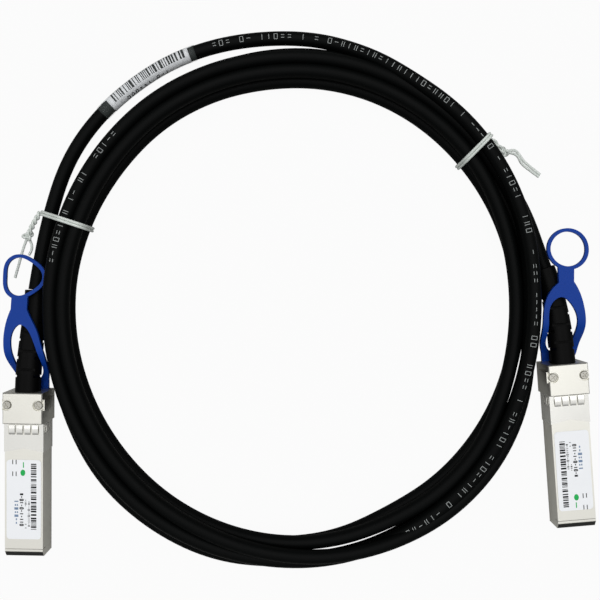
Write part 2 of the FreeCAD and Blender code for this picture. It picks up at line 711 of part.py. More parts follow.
def make_slider(side):
    """Stamped release slide: two humped prongs beside the latch post, a step, and a forked tail."""
    body = doc.addObject("PartDesign::Body", f"{side}_slider")
    low, tip = "slider_gap", "-post_back - post_length - prong_reach"
    tail = "-tab_low + (tab_sheet - sheet) / 2"
    foot = "joggle_start + joggle_run"
    profile = outline(body, "profile", "YZ_Plane",
                      [(tip, low), (f"{tip} + 0.4", low), (f"{tip} + 0.9", f"{low} - hump_drop - slider_gap"),
                       (f"{tip} + 1.4", f"{low} - hump_drop - slider_gap"), (f"{tip} + 2.1", low),
                       ("joggle_start", low), (foot, tail), ("slider_tail", tail), ("slider_tail", f"{tail} + sheet"),
                       (f"{foot} + 0.2", f"{tail} + sheet"), ("joggle_start + 0.2", f"{low} + sheet"),
                       (tip, f"{low} + sheet")], "-slider_half")
    pad(body, profile, "2 * slider_half")
    fork = rectangle(body, "fork", "XY_Plane", ("-post_width / 2 - prong_gap", "post_width / 2 + prong_gap"),
                     (f"{tip} - 1", "-post_back + prong_gap"), "3")
    pocket(body, fork, "6")
    inner = "arm_inner + prong_gap"
    seat = outline(body, "seat", "XY_Plane",
                   [("-stop_half - 0.2", "spring_seat"), ("stop_half + 0.2", "spring_seat"),
                    ("stop_half + 0.2", "spring_seat + 1"), (inner, "spring_seat + 1"),
                    (inner, "slider_tail + 1"), (f"-({inner})", "slider_tail + 1"),
                    (f"-({inner})", "spring_seat + 1"), ("-stop_half - 0.2", "spring_seat + 1")], "3")
    pocket(body, seat, "6")
    doc.recompute()
    keep(f"{side}_slider", body, plug_placement(side))


def make_spring(side):
    """Return spring between the slide's seat and the stop in the nose."""
    wire, radius = size("spring_wire"), size("spring_radius")
    start, end = size("spring_seat") + wire, size("nose_length") - size("stop_length") - wire
    pitch = (end - start) / size("spring_turns")
    lying = Placement(Vector(0, start, -size("tab_low") + size("tab_sheet") / 2), Rotation(Vector(1, 0, 0), -90))
    helix = Part.Wire(Part.makeHelix(pitch, end - start, radius).Edges)
    section = Part.makePolygon([Vector(radius + wire * math.cos(a), 0, wire * math.sin(a))
                                for a in (math.tau * k / 4 for k in range(5))])
    helix.Placement = lying
    section.Placement = lying
    coil = helix.makePipeShell([section], True, True)
    keep(f"{side}_return_spring", solid(f"{side}_return_spring", coil), plug_placement(side))


# ---------------------------------------------------------------- pull tab


def curve_through(points):
    """Smooth edge through points."""
    curve = Part.BSplineCurve()
    curve.interpolate([Vector(*p) for p in points])
    return curve.toShape()


def tab_face(side):
    """Plan of the tab: two arms that join round an open gap, a neck and a finger ring."""
    plan = TAB_PLANS[side]
    start = size("slider_tail") - size("prong_reach") * 2
    inner, outer = size("arm_inner"), size("arm_outer")
    flat = [(x, y, 0) for x, y in plan["neck"]]
    left = [(x, y, 0) for x, y in plan["outer_left"]]
    right = [(x, y, 0) for x, y in plan["outer_right"]]
    gap = [(x, y, 0) for x, y in plan["inner"]]
    corners = {"left": (-outer, start, 0), "right": (outer, start, 0),
               "gap_left": (-inner, start, 0), "gap_right": (inner, start, 0)}
    edges = [
        Part.LineSegment(Vector(*corners["left"]), Vector(*left[0])).toShape(),
        curve_through(left + flat[:1]),
        Part.LineSegment(Vector(*flat[0]), Vector(*flat[3])).toShape(),
        Part.LineSegment(Vector(*flat[3]), Vector(*flat[2])).toShape(),
        Part.LineSegment(Vector(*flat[2]), Vector(*flat[1])).toShape(),
        curve_through(flat[1:2] + right[::-1]),
        Part.LineSegment(Vector(*right[0]), Vector(*corners["right"])).toShape(),
        Part.LineSegment(Vector(*corners["right"]), Vector(*corners["gap_right"])).toShape(),
        Part.LineSegment(Vector(*corners["gap_right"]), Vector(*gap[-1])).toShape(),
        curve_through(gap[::-1]),
        Part.LineSegment(Vector(*gap[0]), Vector(*corners["gap_left"])).toShape(),
        Part.LineSegment(Vector(*corners["gap_left"]), Vector(*corners["left"])).toShape(),
    ]
    return Part.Face(Part.Wire(edges))


def ring_outline(side, radius):
    """Closed curve of the finger ring: a circle that has been handled a little out of round."""
    plan = TAB_PLANS[side]
    cx, cy = plan["ring"]
    points = []
    for k in range(16):
        angle = math.tau * k / 16
        reach = radius + plan["ring_grow"]
        reach += plan["ring_stretch"] * math.cos(2 * angle) + plan["ring_corners"] * math.cos(3 * angle)
        points.append(Vector(cx + reach * math.cos(angle), cy + reach * math.sin(angle), 0))
    curve = Part.BSplineCurve()
    curve.interpolate(points, PeriodicFlag=True)
    return Part.Wire(curve.toShape())


def tab_sheet_solid():
    """Bent sheet that the tab is cut from: level in the nose, then up and over the boot."""
    half, level = size("tab_sheet") / 2, -size("tab_low") + size("tab_sheet") / 2
    knee = 14.0
    middle = Part.BSplineCurve()
    middle.interpolate([Vector(0, y, z) for y, z in [(knee, level)] + TAB_RISE],
                       InitialTangent=Vector(0, 1, 0), FinalTangent=Vector(0, 1, -0.1))
    top, foot = [], []
    count = 14
    for k in range(count + 1):
        at = middle.FirstParameter + (middle.LastParameter - middle.FirstParameter) * k / count
        point, along = middle.value(at), middle.tangent(at)[0]
        side = Vector(0, -along.z, along.y) * half
        top.append(point + side)
        foot.append(point - side)
    start = Vector(0, 5.0, level)
    up = Vector(0, 0, half)
    edges = [Part.LineSegment(start - up, foot[0]).toShape(), curve_through(foot),
             Part.LineSegment(foot[-1], top[-1]).toShape(), curve_through(top[::-1]),
             Part.LineSegment(top[0], start + up).toShape(), Part.LineSegment(start + up, start - up).toShape()]
    face = Part.Face(Part.Wire(edges))
    face.translate(Vector(-20, 0, 0))
    return face.extrude(Vector(40, 0, 0))


def make_tab(side):
    """Moulded pull tab: its plan taken out of the bent sheet, moulded over the slide's tail."""
    hole = Part.Face(ring_outline(side, size("ring_radius") - size("ring_band")))
    disc = Part.Face(ring_outline(side, size("ring_radius")))
    plan = tab_face(side).fuse(disc).cut(hole).removeSplitter()
    low, high = Vector(0, 0, -8), Vector(0, 0, 24)
    plan.translate(low)
    tab = plan.extrude(high).common(tab_sheet_solid())
    tail = size("slider_tail")
    level = -size("tab_low") + (size("tab_sheet") - size("sheet")) / 2
    for sign in (-1, 1):
        inner = size("arm_inner") + size("prong_gap")
        width = size("slider_half") - inner
        socket = Part.makeBox(width, tail, size("sheet"), Vector(inner if sign > 0 else -inner - width, 0, level))
        tab = tab.cut(socket)
    keep(f"{side}_pull_tab", solid(f"{side}_pull_tab", tab), plug_placement(side))


# ---------------------------------------------------------------- cable


def tube_path(points):
    """Straight runs joined by tangent arcs, each arc as large as its two runs allow."""
    points = [Vector(*p) for p in points]
    edges, radii, start = [], [], points[0]
    for before, corner, after in zip(points, points[1:], points[2:]):
        one, two = (before - corner), (after - corner)
        run = 0.45 * min(one.Length, two.Length)
        half = (math.pi - one.getAngle(two)) / 2
        radii.append(run / math.tan(half))
        first = corner + one * (run / one.Length)
        last = corner + two * (run / two.Length)
        bisector = (one.normalize() + two.normalize()).normalize()
        middle = corner + bisector * (radii[-1] / math.cos(half) - radii[-1])
        edges += [Part.LineSegment(start, first).toShape(), Part.Arc(first, middle, last).toShape()]
        start = last
    edges.append(Part.LineSegment(start, points[-1]).toShape())
    return edges, radii


def pipe(edges, radius, bore=0.0):
    """Round tube along straight and arc edges, open inside where a bore is given."""
    pieces = []
    for edge in edges:
        start, along = edge.valueAt(edge.FirstParameter), edge.tangentAt(edge.FirstParameter)
        section = Part.Face(Part.Wire(Part.makeCircle(radius, start, along)))
        if bore:
            section = section.cut(Part.Face(Part.Wire(Part.makeCircle(bore, start, along))))
        pieces.append(sweep(section, edge))
    return pieces[0].multiFuse(pieces[1:]).removeSplitter()


def sweep(section, edge):
    """Section carried along one straight or arc edge."""
    if isinstance(edge.Curve, Part.Circle):
        angle = math.degrees(edge.LastParameter - edge.FirstParameter)
        return section.revolve(edge.Curve.Center, edge.Curve.Axis, angle)
    return section.extrude(edge.valueAt(edge.LastParameter) - edge.valueAt(edge.FirstParameter))


def flat_wire(points, radius):
    """Thin tie wire through points: six flat sides, kept unturned along the way."""
    edges, _ = tube_path(points)
    along = edges[0].tangentAt(edges[0].FirstParameter)
    beside = along.cross(Vector(0, 0, 1) if abs(along.z) < 0.9 else Vector(0, 1, 0)).normalize()
    pieces = []
    for edge in edges:
        start, along = edge.valueAt(edge.FirstParameter), edge.tangentAt(edge.FirstParameter)
        over = along.cross(beside)
        rim = [start + (beside * math.cos(a) + over * math.sin(a)) * radius
               for a in (math.tau * k / 6 for k in range(7))]
        pieces.append(sweep(Part.Face(Part.makePolygon(rim)), edge))
        if isinstance(edge.Curve, Part.Circle):
            bend = math.degrees(edge.LastParameter - edge.FirstParameter)
            beside = Rotation(edge.Curve.Axis, bend).multVec(beside)
    return pieces[0].multiFuse(pieces[1:]).removeSplitter()


def make_leads(boots):
    """The two free ends of the cable, and the label and clear sleeve on the left one."""
    radius = size("cable_radius")
    routes = {"left": LEFT_ROUTE, "right": RIGHT_ROUTE}
    for side, curve in boots.items():
        exit_point = plug_placement(side).multVec(curve.value(1.0))
        edges, radii = tube_path([tuple(exit_point)] + routes[side])
        lead = pipe(edges, radius)
        length = sum(edge.Length for edge in edges)
        print(f"{side}_lead radii", [round(r, 1) for r in radii], "length", round(length, 1),
              "volume ratio", round(lead.Volume / (math.pi * radius ** 2 * length), 4))
        keep(f"{side}_lead", solid(f"{side}_lead", lead))
        if side == "left":
            first = 2 * SLEEVE_POINT - 1
            wrapped = edges[first:first + 3]
            covered = edges[first - 1:first + 4]
            label = pipe(wrapped, radius + size("label_wrap"), radius)
            sleeve = pipe(covered, radius + size("sleeve_wrap") + size("label_wrap"), radius)
            sleeve = sleeve.cut(pipe(wrapped, radius + size("label_wrap")))
            keep("barcode_label", solid("barcode_label", label))
            keep("clear_sleeve", solid("clear_sleeve", sleeve))


def ellipse_wire(spot, inset=0.0):
    """Closed ellipse on the table."""
    middle = Vector(spot["x"], spot["y"], 0)
    ahead, beside = Vector(0, spot["along"] - inset, 0), Vector(spot["across"] - inset, 0, 0)
    return Part.Wire(Part.Ellipse(middle + ahead, middle + beside, middle).toShape())


def make_coil():
    """The coiled cable as one closed solid of its outer shape, clear of the right boot and tab."""
    layer, inset = size("coil_layer"), size("coil_inset")
    lower = Part.Face(ellipse_wire(COIL_OUTSIDE)).cut(Part.Face(ellipse_wire(COIL_INSIDE)))
    lower = lower.extrude(Vector(0, 0, layer))
    upper = Part.Face(ellipse_wire(COIL_OUTSIDE, inset)).cut(Part.Face(ellipse_wire(COIL_INSIDE, -inset)))
    upper = upper.extrude(Vector(0, 0, size("coil_height") - layer))
    upper.translate(Vector(0, 0, layer))
    reach = size("nose_width") / 2 + size("ear_width") + size("side_gap")
    end, ahead = size("nose_length") + size("boot_length") + 0.8, 12
    beside_plug = Part.makeBox(40, end + ahead, 40, Vector(-reach, -ahead, -20))
    under_ring = Part.makeBox(40, 2 * size("ring_radius"), 40, Vector(-size("ring_radius") / 2, end, 3.0))
    room = beside_plug.fuse(under_ring)
    room.Placement = plug_placement("right")
    coil = lower.fuse(upper).removeSplitter().cut(room)
    keep("coil", solid("coil", coil))


def make_ties():
    """Wire ties round the bundle, each with a knot and two tails on the table."""
    radius, top = size("tie_radius"), size("coil_height") + size("tie_radius") + 0.3
    for side, spot in TIES.items():
        outer, inner = Vector(*spot["outer"], 0), Vector(*spot["inner"], 0)
        low = Vector(0, 0, radius + 0.05)
        high = Vector(0, 0, top)
        middle = (outer + inner) * 0.5
        loop = [middle + low, inner + low, inner + high, outer + high, outer + low, middle + low]
        knot = Vector(*spot["knot"])
        waist = outer + (low + high) * 0.5
        neck = [waist, (waist + knot) * 0.5 - low * 2, knot]
        wires = [flat_wire(line, radius) for line in [loop, neck] + spot["tails"]]
        tie = wires[0].multiFuse(wires[1:] + [Part.makeSphere(radius * 2.6, knot)]).removeSplitter()
        keep(f"{side}_tie", solid(f"{side}_tie", tie))


# ---------------------------------------------------------------- build and write

boots = {}
for side in PLUGS:
    make_base(side)
    make_cover(side)
    make_screws(side)
    make_collar(side)
    make_label(side)
    make_card(side)
    make_wires(side)
    make_ferrule(side)
    boots[side] = make_boot(side)
    make_slider(side)
    make_spring(side)
    make_tab(side)
make_leads(boots)
make_coil()
make_ties()
doc.recompute()

for thing in doc.Objects:
    if any(word in state for state in thing.State for word in ("Invalid", "Error")):
        raise ValueError(f"{thing.Name} is in state {thing.State}")
for name, thing in parts.items():
    if thing.Shape.isNull() or not thing.Shape.isValid():
        raise ValueError(f"{name} has no valid shape")

os.makedirs("parts", exist_ok=True)
for name, thing in parts.items():
    thing.Shape.exportStep(f"parts/{name}.step")
print(len(parts), "sub-parts written")
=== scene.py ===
"""Looks of a coiled direct attach copper cable: two plated plugs, pull tabs and black twinax.

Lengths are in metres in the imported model's own frame. Each sub-assembly is a class that
builds its pieces and gives them their finish; `main` builds them in order.
"""

import json
import logging
import math
import random
from bisect import bisect_right
from collections.abc import Callable
from dataclasses import dataclass, field
from enum import Enum

import bmesh
import bpy
from mathutils import Matrix, Quaternion, Vector

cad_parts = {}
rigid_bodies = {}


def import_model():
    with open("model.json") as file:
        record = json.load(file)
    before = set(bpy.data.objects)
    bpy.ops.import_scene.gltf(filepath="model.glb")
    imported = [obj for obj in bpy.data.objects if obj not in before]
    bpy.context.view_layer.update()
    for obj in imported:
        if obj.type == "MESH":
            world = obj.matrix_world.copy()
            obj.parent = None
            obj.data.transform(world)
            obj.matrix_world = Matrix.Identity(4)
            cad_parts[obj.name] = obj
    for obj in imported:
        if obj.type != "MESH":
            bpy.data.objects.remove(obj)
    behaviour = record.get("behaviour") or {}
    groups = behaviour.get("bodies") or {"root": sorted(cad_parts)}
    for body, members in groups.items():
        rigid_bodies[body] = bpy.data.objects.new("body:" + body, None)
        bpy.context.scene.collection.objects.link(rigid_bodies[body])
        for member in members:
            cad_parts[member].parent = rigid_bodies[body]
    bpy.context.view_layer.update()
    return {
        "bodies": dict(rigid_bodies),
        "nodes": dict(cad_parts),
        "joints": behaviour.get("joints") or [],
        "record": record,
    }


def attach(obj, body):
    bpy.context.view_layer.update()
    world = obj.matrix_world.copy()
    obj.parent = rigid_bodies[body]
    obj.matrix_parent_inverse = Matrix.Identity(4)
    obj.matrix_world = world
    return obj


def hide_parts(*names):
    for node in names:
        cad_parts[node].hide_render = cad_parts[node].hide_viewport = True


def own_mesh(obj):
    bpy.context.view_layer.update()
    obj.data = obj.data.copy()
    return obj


LOG = logging.getLogger("cable")
ROOT_BODY = "cable_assembly"
MM = 0.001
INK_LIFT = 0.02
Piece = bpy.types.Object
Tree = bpy.types.NodeTree
Shape = bmesh.types.BMesh
Flat = tuple[float, float]
Spot = tuple[float, float, float]
Four = tuple[float, float, float, float]
Surface = Callable[[float, float, float], Vector]


class Side(Enum):
    """The two ends of the cable."""

    LEFT = "left"
    RIGHT = "right"


# --- shared helpers


def linear(red: float, green: float, blue: float) -> Four:
    """Turn a display colour into the shader's own scale.

    Args:
        red: Red, 0 to 255.
        green: Green, 0 to 255.
        blue: Blue, 0 to 255.

    Returns:
        The colour in linear light, with an alpha of one.
    """
    shares = [channel / 255.0 for channel in (red, green, blue)]
    bright = [c / 12.92 if c <= 0.04045 else ((c + 0.055) / 1.055) ** 2.4 for c in shares]
    return (bright[0], bright[1], bright[2], 1.0)


def new_piece(name: str, shape: Shape, smooth: bool = False) -> Piece:
    """Make an object of a finished bmesh and free the bmesh.

    Args:
        name: The piece's name.
        shape: Its geometry, in place.
        smooth: Whether it is shaded smooth.

    Returns:
        The linked object, at the origin.
    """
    mesh = bpy.data.meshes.new(name)
    shape.to_mesh(mesh)
    shape.free()
    if smooth:
        for face in mesh.polygons:
            face.use_smooth = True
    piece = bpy.data.objects.new(name, mesh)
    bpy.context.scene.collection.objects.link(piece)
    LOG.info("%s: %d faces", name, len(mesh.polygons))
    return piece


def dress(piece: Piece, finish: "Finish") -> Piece:
    """Give a piece one material all over.

    Args:
        piece: The object to dress.
        finish: The finish it gets.

    Returns:
        The same object.
    """
    piece.data.materials.clear()
    piece.data.materials.append(finish.material())
    return piece


def curve_piece(name: str, points: list[Vector], radius: float, facets: int, steps: int,
                closed: bool = False) -> Piece:
    """Make a round NURBS cord through control points.

    Its points hold the radius, so that the curve's own box is no bigger than the cord.

    Args:
        name: The piece's name.
        points: Control points.
        radius: Radius of the cord.
        facets: Bevel resolution of its round section.
        steps: Steps between two control points.
        closed: Whether the line joins up with itself.

    Returns:
        The linked curve object.
    """
    data = bpy.data.curves.new(name, "CURVE")
    data.dimensions = "3D"
    data.bevel_depth = 1.0
    data.bevel_resolution = facets
    data.use_fill_caps = True
    data.resolution_u = steps
    data.twist_mode = "Z_UP"
    spline = data.splines.new("NURBS")
    spline.points.add(len(points) - 1)
    for slot, point in zip(spline.points, points):
        slot.co = (*point, 1.0)
        slot.radius = radius
    spline.use_cyclic_u = closed
    spline.order_u = 3
    spline.use_endpoint_u = not closed
    spline.use_smooth = True
    piece = bpy.data.objects.new(name, data)
    bpy.context.scene.collection.objects.link(piece)
    return piece


def shown_mesh(piece: Piece) -> bpy.types.Mesh:
    """Read a curve as the mesh that it shows."""
    bpy.context.view_layer.update()
    shown = piece.evaluated_get(bpy.context.evaluated_depsgraph_get())
    return bpy.data.meshes.new_from_object(shown)


def join_rings(shape: Shape, one: list[bmesh.types.BMVert], two: list[bmesh.types.BMVert]) -> None:
    """Join two closed rows of vertices by quads.

    Args:
        shape: Where the faces go.
        one: The first row.
        two: The second row, as long as the first.
    """
    for k in range(len(one)):
        after = (k + 1) % len(one)
        shape.faces.new((one[k], one[after], two[after], two[k]))


def ribbon(shape: Shape, place: Surface, path: list[Flat], width: float) -> None:
    """Add one thin closed strip that follows a surface.

    Args:
        shape: Where the strip goes.
        place: Turns a flat place and a lift, in millimetres, into a point on the surface.
        path: Middle line of the strip on the flattened surface.
        width: Width of the strip.
    """
    low, high = -INK_LIFT, INK_LIFT
    rows = []
    for k, (u, v) in enumerate(path):
        before, after = path[max(k - 1, 0)], path[min(k + 1, len(path) - 1)]
        along = math.hypot(after[0] - before[0], after[1] - before[1])
        du = (before[1] - after[1]) / along * width / 2
        dv = (after[0] - before[0]) / along * width / 2
        corners = ((u + du, v + dv, low), (u + du, v + dv, high),
                   (u - du, v - dv, high), (u - du, v - dv, low))
        rows.append([shape.verts.new(place(*corner)) for corner in corners])
    for one, two in zip(rows, rows[1:]):
        join_rings(shape, one, two)
    shape.faces.new(rows[0][::-1])
    shape.faces.new(rows[-1])


def finished(name: str, shape: Shape, finish: "Finish", smooth: bool = False) -> Piece:
    """Make and dress a piece that moves with the cable.

    Args:
        name: The piece's name.
        shape: Its geometry.
        finish: Its finish.
        smooth: Whether it is shaded smooth.

    Returns:
        The finished piece.
    """
    bmesh.ops.recalc_face_normals(shape, faces=shape.faces)
    piece = dress(new_piece(name, shape, smooth), finish)
    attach(piece, ROOT_BODY)
    return piece


@dataclass
class Lettering:
    """A row of plain bars, dashes and boxes that stands for printing and can't be read.

    A mark is a set of strokes, each from one place to another in a unit cell.
    """

    height: float
    advance: float
    stroke: float
    seed: int
    gaps: float = 0.2
    cell_share: float = 0.6
    bends: int = 3
    marks: tuple[tuple[Four, ...], ...] = (
        ((0.4, 0.0, 0.4, 1.0),), ((0.0, 0.5, 0.9, 0.5),),
        ((0.15, 0.0, 0.15, 1.0), (0.7, 0.0, 0.7, 1.0)),
        ((0.0, 0.0, 0.0, 1.0), (0.8, 0.0, 0.8, 1.0), (0.0, 0.0, 0.8, 0.0), (0.0, 1.0, 0.8, 1.0)),
        ((0.0, 0.25, 0.8, 0.25), (0.0, 0.75, 0.8, 0.75)))

    def write(self, shape: Shape, place: Surface, start: float, end: float,
              middle: float, upright: bool = True) -> None:
        """Write marks along a surface.

        Args:
            shape: Where the strokes go.
            place: Lays flat places on the surface.
            start: Where the row starts, along the surface.
            end: Where it ends.
            middle: Where its middle line is, across the surface.
            upright: Whether it runs along the first flat direction.
        """
        dice = random.Random(self.seed)
        width = self.advance * self.cell_share
        sign = 1 if end > start else -1
        for k in range(int(abs(end - start) / self.advance)):
            if dice.random() < self.gaps:
                continue
            for u0, v0, u1, v1 in dice.choice(self.marks):
                path = []
                for step in range(self.bends + 1):
                    share = step / self.bends
                    along = start + sign * (k * self.advance + width * (u0 + (u1 - u0) * share))
                    beside = middle + self.height * (v0 + (v1 - v0) * share - 0.5)
                    path.append((along, beside) if upright else (beside, along))
                ribbon(shape, place, path, self.stroke)


def bar_code(shape: Shape, place: Surface, run: Flat, band: Flat, seed: int,
             upright: bool = True, steps: int = 1, grain: float = 1.0) -> None:
    """Lay plain bars of uneven width in a row.

    Args:
        shape: Where the bars go.
        place: Lays flat places on the surface.
        run: Where the row starts and ends.
        band: The two ends of each bar.
        seed: Seed of the bars' widths.
        upright: Whether the row runs along the first flat direction.
        steps: Pieces that each bar is bent into.
        grain: Scale of the bars' widths and gaps.
    """
    (at, end), (low, high) = run, band
    dice = random.Random(seed)
    while at < end:
        width = grain * dice.choice((0.22, 0.22, 0.42, 0.62))
        ends = [low + (high - low) * k / steps for k in range(steps + 1)]
        path = [((at + width / 2, v) if upright else (v, at + width / 2)) for v in ends]
        ribbon(shape, place, path, width)
        at += width + grain * dice.choice((0.24, 0.24, 0.4, 0.62))


# --- finishes


def variation_group() -> Tree:
    """Build once the node group of fine unevenness that every finish shares.

    Returns:
        A group with a coarse mask, a fine height and a colour.
    """
    name = "uneven surface"
    if name in bpy.data.node_groups:
        return bpy.data.node_groups[name]
    tree = bpy.data.node_groups.new(name, "ShaderNodeTree")
    number, colour = "NodeSocketFloat", "NodeSocketColor"
    for label, kind, start in (("Colour", colour, None), ("Coarse size", number, 120.0),
                               ("Fine size", number, 1500.0), ("Tint", number, 0.1)):
        socket = tree.interface.new_socket(label, in_out="INPUT", socket_type=kind)
        if start is not None:
            socket.default_value = start
    for label, kind in (("Colour", colour), ("Mask", number), ("Height", number)):
        tree.interface.new_socket(label, in_out="OUTPUT", socket_type=kind)
    given, put = tree.nodes.new("NodeGroupInput"), tree.nodes.new("NodeGroupOutput")
    place = tree.nodes.new("ShaderNodeTexCoord")
    coarse, fine = tree.nodes.new("ShaderNodeTexNoise"), tree.nodes.new("ShaderNodeTexNoise")
    for texture, size in ((coarse, "Coarse size"), (fine, "Fine size")):
        tree.links.new(place.outputs["Object"], texture.inputs["Vector"])
        tree.links.new(given.outputs[size], texture.inputs["Scale"])
        texture.inputs["Detail"].default_value = 3.0
    swing = tree.nodes.new("ShaderNodeMath")
    swing.operation = "MULTIPLY_ADD"
    tree.links.new(coarse.outputs["Fac"], swing.inputs[0])
    tree.links.new(given.outputs["Tint"], swing.inputs[1])
    swing.inputs[2].default_value = 1.0
    shade = tree.nodes.new("ShaderNodeVectorMath")
    shade.operation = "SCALE"
    tree.links.new(given.outputs["Colour"], shade.inputs[0])
    tree.links.new(swing.outputs[0], shade.inputs["Scale"])
    tree.links.new(shade.outputs[0], put.inputs["Colour"])
    tree.links.new(coarse.outputs["Fac"], put.inputs["Mask"])
    tree.links.new(fine.outputs["Fac"], put.inputs["Height"])
    return tree


@dataclass(frozen=True)
class Finish:
    """One finish: a colour with slight unevenness, a sheen and a fine bump."""

    name: str
    colour: Four
    roughness: float = 0.5
    roughness_swing: float = 0.1
    metallic: float = 0.0
    coat: float = 0.0
    transmission: float = 0.0
    specular: float = 0.5
    alpha: float = 1.0
    tint: float = 0.15
    coarse_size: float = 120.0
    fine_size: float = 1500.0
    bump: float = 0.05
    bump_depth: float = 0.00005

    def material(self) -> bpy.types.Material:
        """Build the material, or find it where it is already built.

        Returns:
            The material.
        """
        if self.name in bpy.data.materials:
            return bpy.data.materials[self.name]
        made = bpy.data.materials.new(self.name)
        made.use_nodes = True
        made.diffuse_color = self.colour
        tree = made.node_tree
        shader = tree.nodes["Principled BSDF"]
        uneven = tree.nodes.new("ShaderNodeGroup")
        uneven.node_tree = variation_group()
        for socket, value in (("Colour", self.colour), ("Coarse size", self.coarse_size),
                              ("Fine size", self.fine_size), ("Tint", self.tint)):
            uneven.inputs[socket].default_value = value
        tree.links.new(uneven.outputs["Colour"], shader.inputs["Base Color"])
        rough = tree.nodes.new("ShaderNodeMath")
        rough.operation = "MULTIPLY_ADD"
        tree.links.new(uneven.outputs["Mask"], rough.inputs[0])
        rough.inputs[1].default_value = self.roughness_swing
        rough.inputs[2].default_value = self.roughness - self.roughness_swing / 2
        tree.links.new(rough.outputs[0], shader.inputs["Roughness"])
        bump = tree.nodes.new("ShaderNodeBump")
        bump.inputs["Strength"].default_value = self.bump
        bump.inputs["Distance"].default_value = self.bump_depth
        tree.links.new(uneven.outputs["Height"], bump.inputs["Height"])
        tree.links.new(bump.outputs["Normal"], shader.inputs["Normal"])
        for socket, value in (("Metallic", self.metallic), ("Coat Weight", self.coat),
                              ("Transmission Weight", self.transmission),
                              ("Specular IOR Level", self.specular), ("Alpha", self.alpha)):
            shader.inputs[socket].default_value = value
        return made


PLATED = Finish("nickel plated casting", (0.73, 0.72, 0.665, 1.0),
                roughness=0.36, metallic=1.0, tint=0.05)
STAMPED = Finish("stamped steel", (0.74, 0.735, 0.70, 1.0), roughness=0.24, metallic=1.0, tint=0.04)
# Screws' own darker tone plus painted shade, so their counterbore ring and cross recess read dark.
SCREW_STEEL_AND_SHADE = Finish("screw steel with painted shade", (0.44, 0.43, 0.39, 1.0), roughness=0.3, metallic=1.0, tint=0.1)
# Painted dark reflection: the plated lead-in slope shows black by reflecting dark surroundings.
PAINTED_REFLECTION = Finish("painted dark reflection strip", linear(18, 18, 17), roughness=0.35, tint=0.2)
PAPER = Finish("label paper", linear(238, 240, 243),
               roughness=0.5, specular=0.2, tint=0.02, bump=0.02)
INK = Finish("black ink", linear(24, 24, 26), roughness=0.6, specular=0.1, tint=0.2)
GREY_INK = Finish("grey ink", linear(112, 132, 158), roughness=0.6, specular=0.1, tint=0.2)
GREEN_INK = Finish("green ink", linear(40, 165, 84), roughness=0.6, specular=0.1, tint=0.2)
PALE_INK = Finish("pale jacket ink", linear(138, 142, 141),
                  roughness=0.7, specular=0.1, tint=0.3, coarse_size=900.0)
JACKET = Finish("cable jacket", linear(5, 6, 6),
                roughness=0.5, specular=0.05, tint=0.3, fine_size=900.0, bump=0.1)
BOOT = Finish("boot rubber", linear(4, 4, 4),
              roughness=0.5, specular=0.06, tint=0.3, fine_size=1800.0, bump=0.1)
TAB = Finish("pull tab plastic", (0.0035, 0.038, 0.262, 1.0),
             roughness=0.42, specular=0.12, tint=0.06, bump=0.05)
CARD = Finish("solder mask", linear(24, 92, 44), roughness=0.3, coat=0.3)
GOLD = Finish("gold pads", (0.90, 0.66, 0.26, 1.0), roughness=0.22, metallic=1.0)
FERRULE = Finish("plated ferrule", (0.72, 0.71, 0.66, 1.0), roughness=0.3, metallic=1.0)
CORES = Finish("core insulation", linear(190, 190, 184), roughness=0.35)
FILM = Finish("clear film", linear(120, 128, 126),
              roughness=0.16, specular=0.3, alpha=0.09, tint=0.1, bump=0.0)
TIE = Finish("tie plastic", linear(214, 220, 215),
             roughness=0.26, specular=0.5, transmission=0.12, tint=0.1)


# --- plugs


@dataclass
class PlugFrame:
    """A plug's own axes: Y to the cable, Z out of the label face, origin at the flange's foot."""

    side: Side
    matrix: Matrix
    nose_length: float = 11.0
    mount_ahead: float = 24.0
    mount_height: float = 4.25

    @classmethod
    def of(cls, side: Side, record: dict) -> "PlugFrame":
        """Work the axes out from the plug's joint and its cage mount.

        Args:
            side: Which end of the cable.
            record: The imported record.

        Returns:
            The plug's frame.
        """
        joints = {joint["name"]: joint for joint in record["behaviour"]["joints"]}
        mounts = {mount["name"]: mount for mount in record["mounts"]}
        ahead = Vector(joints[f"{side.value}_tab_pull"]["axis"]).normalized()
        across = ahead.cross(Vector((0, 0, 1))).normalized()
        up = across.cross(ahead)
        middle = Vector(mounts[f"{side.value}_cage_slide"]["pos_m"])
        origin = middle + ahead * cls.mount_ahead * MM - up * cls.mount_height * MM
        axes = Matrix((across, ahead, up)).transposed().to_4x4()
        return cls(side, Matrix.Translation(origin) @ axes)

    def point(self, x: float, y: float, z: float) -> Vector:
        """Turn the plug's own millimetres into a point."""
        return self.matrix @ Vector((x * MM, y * MM, z * MM))


# --- cable


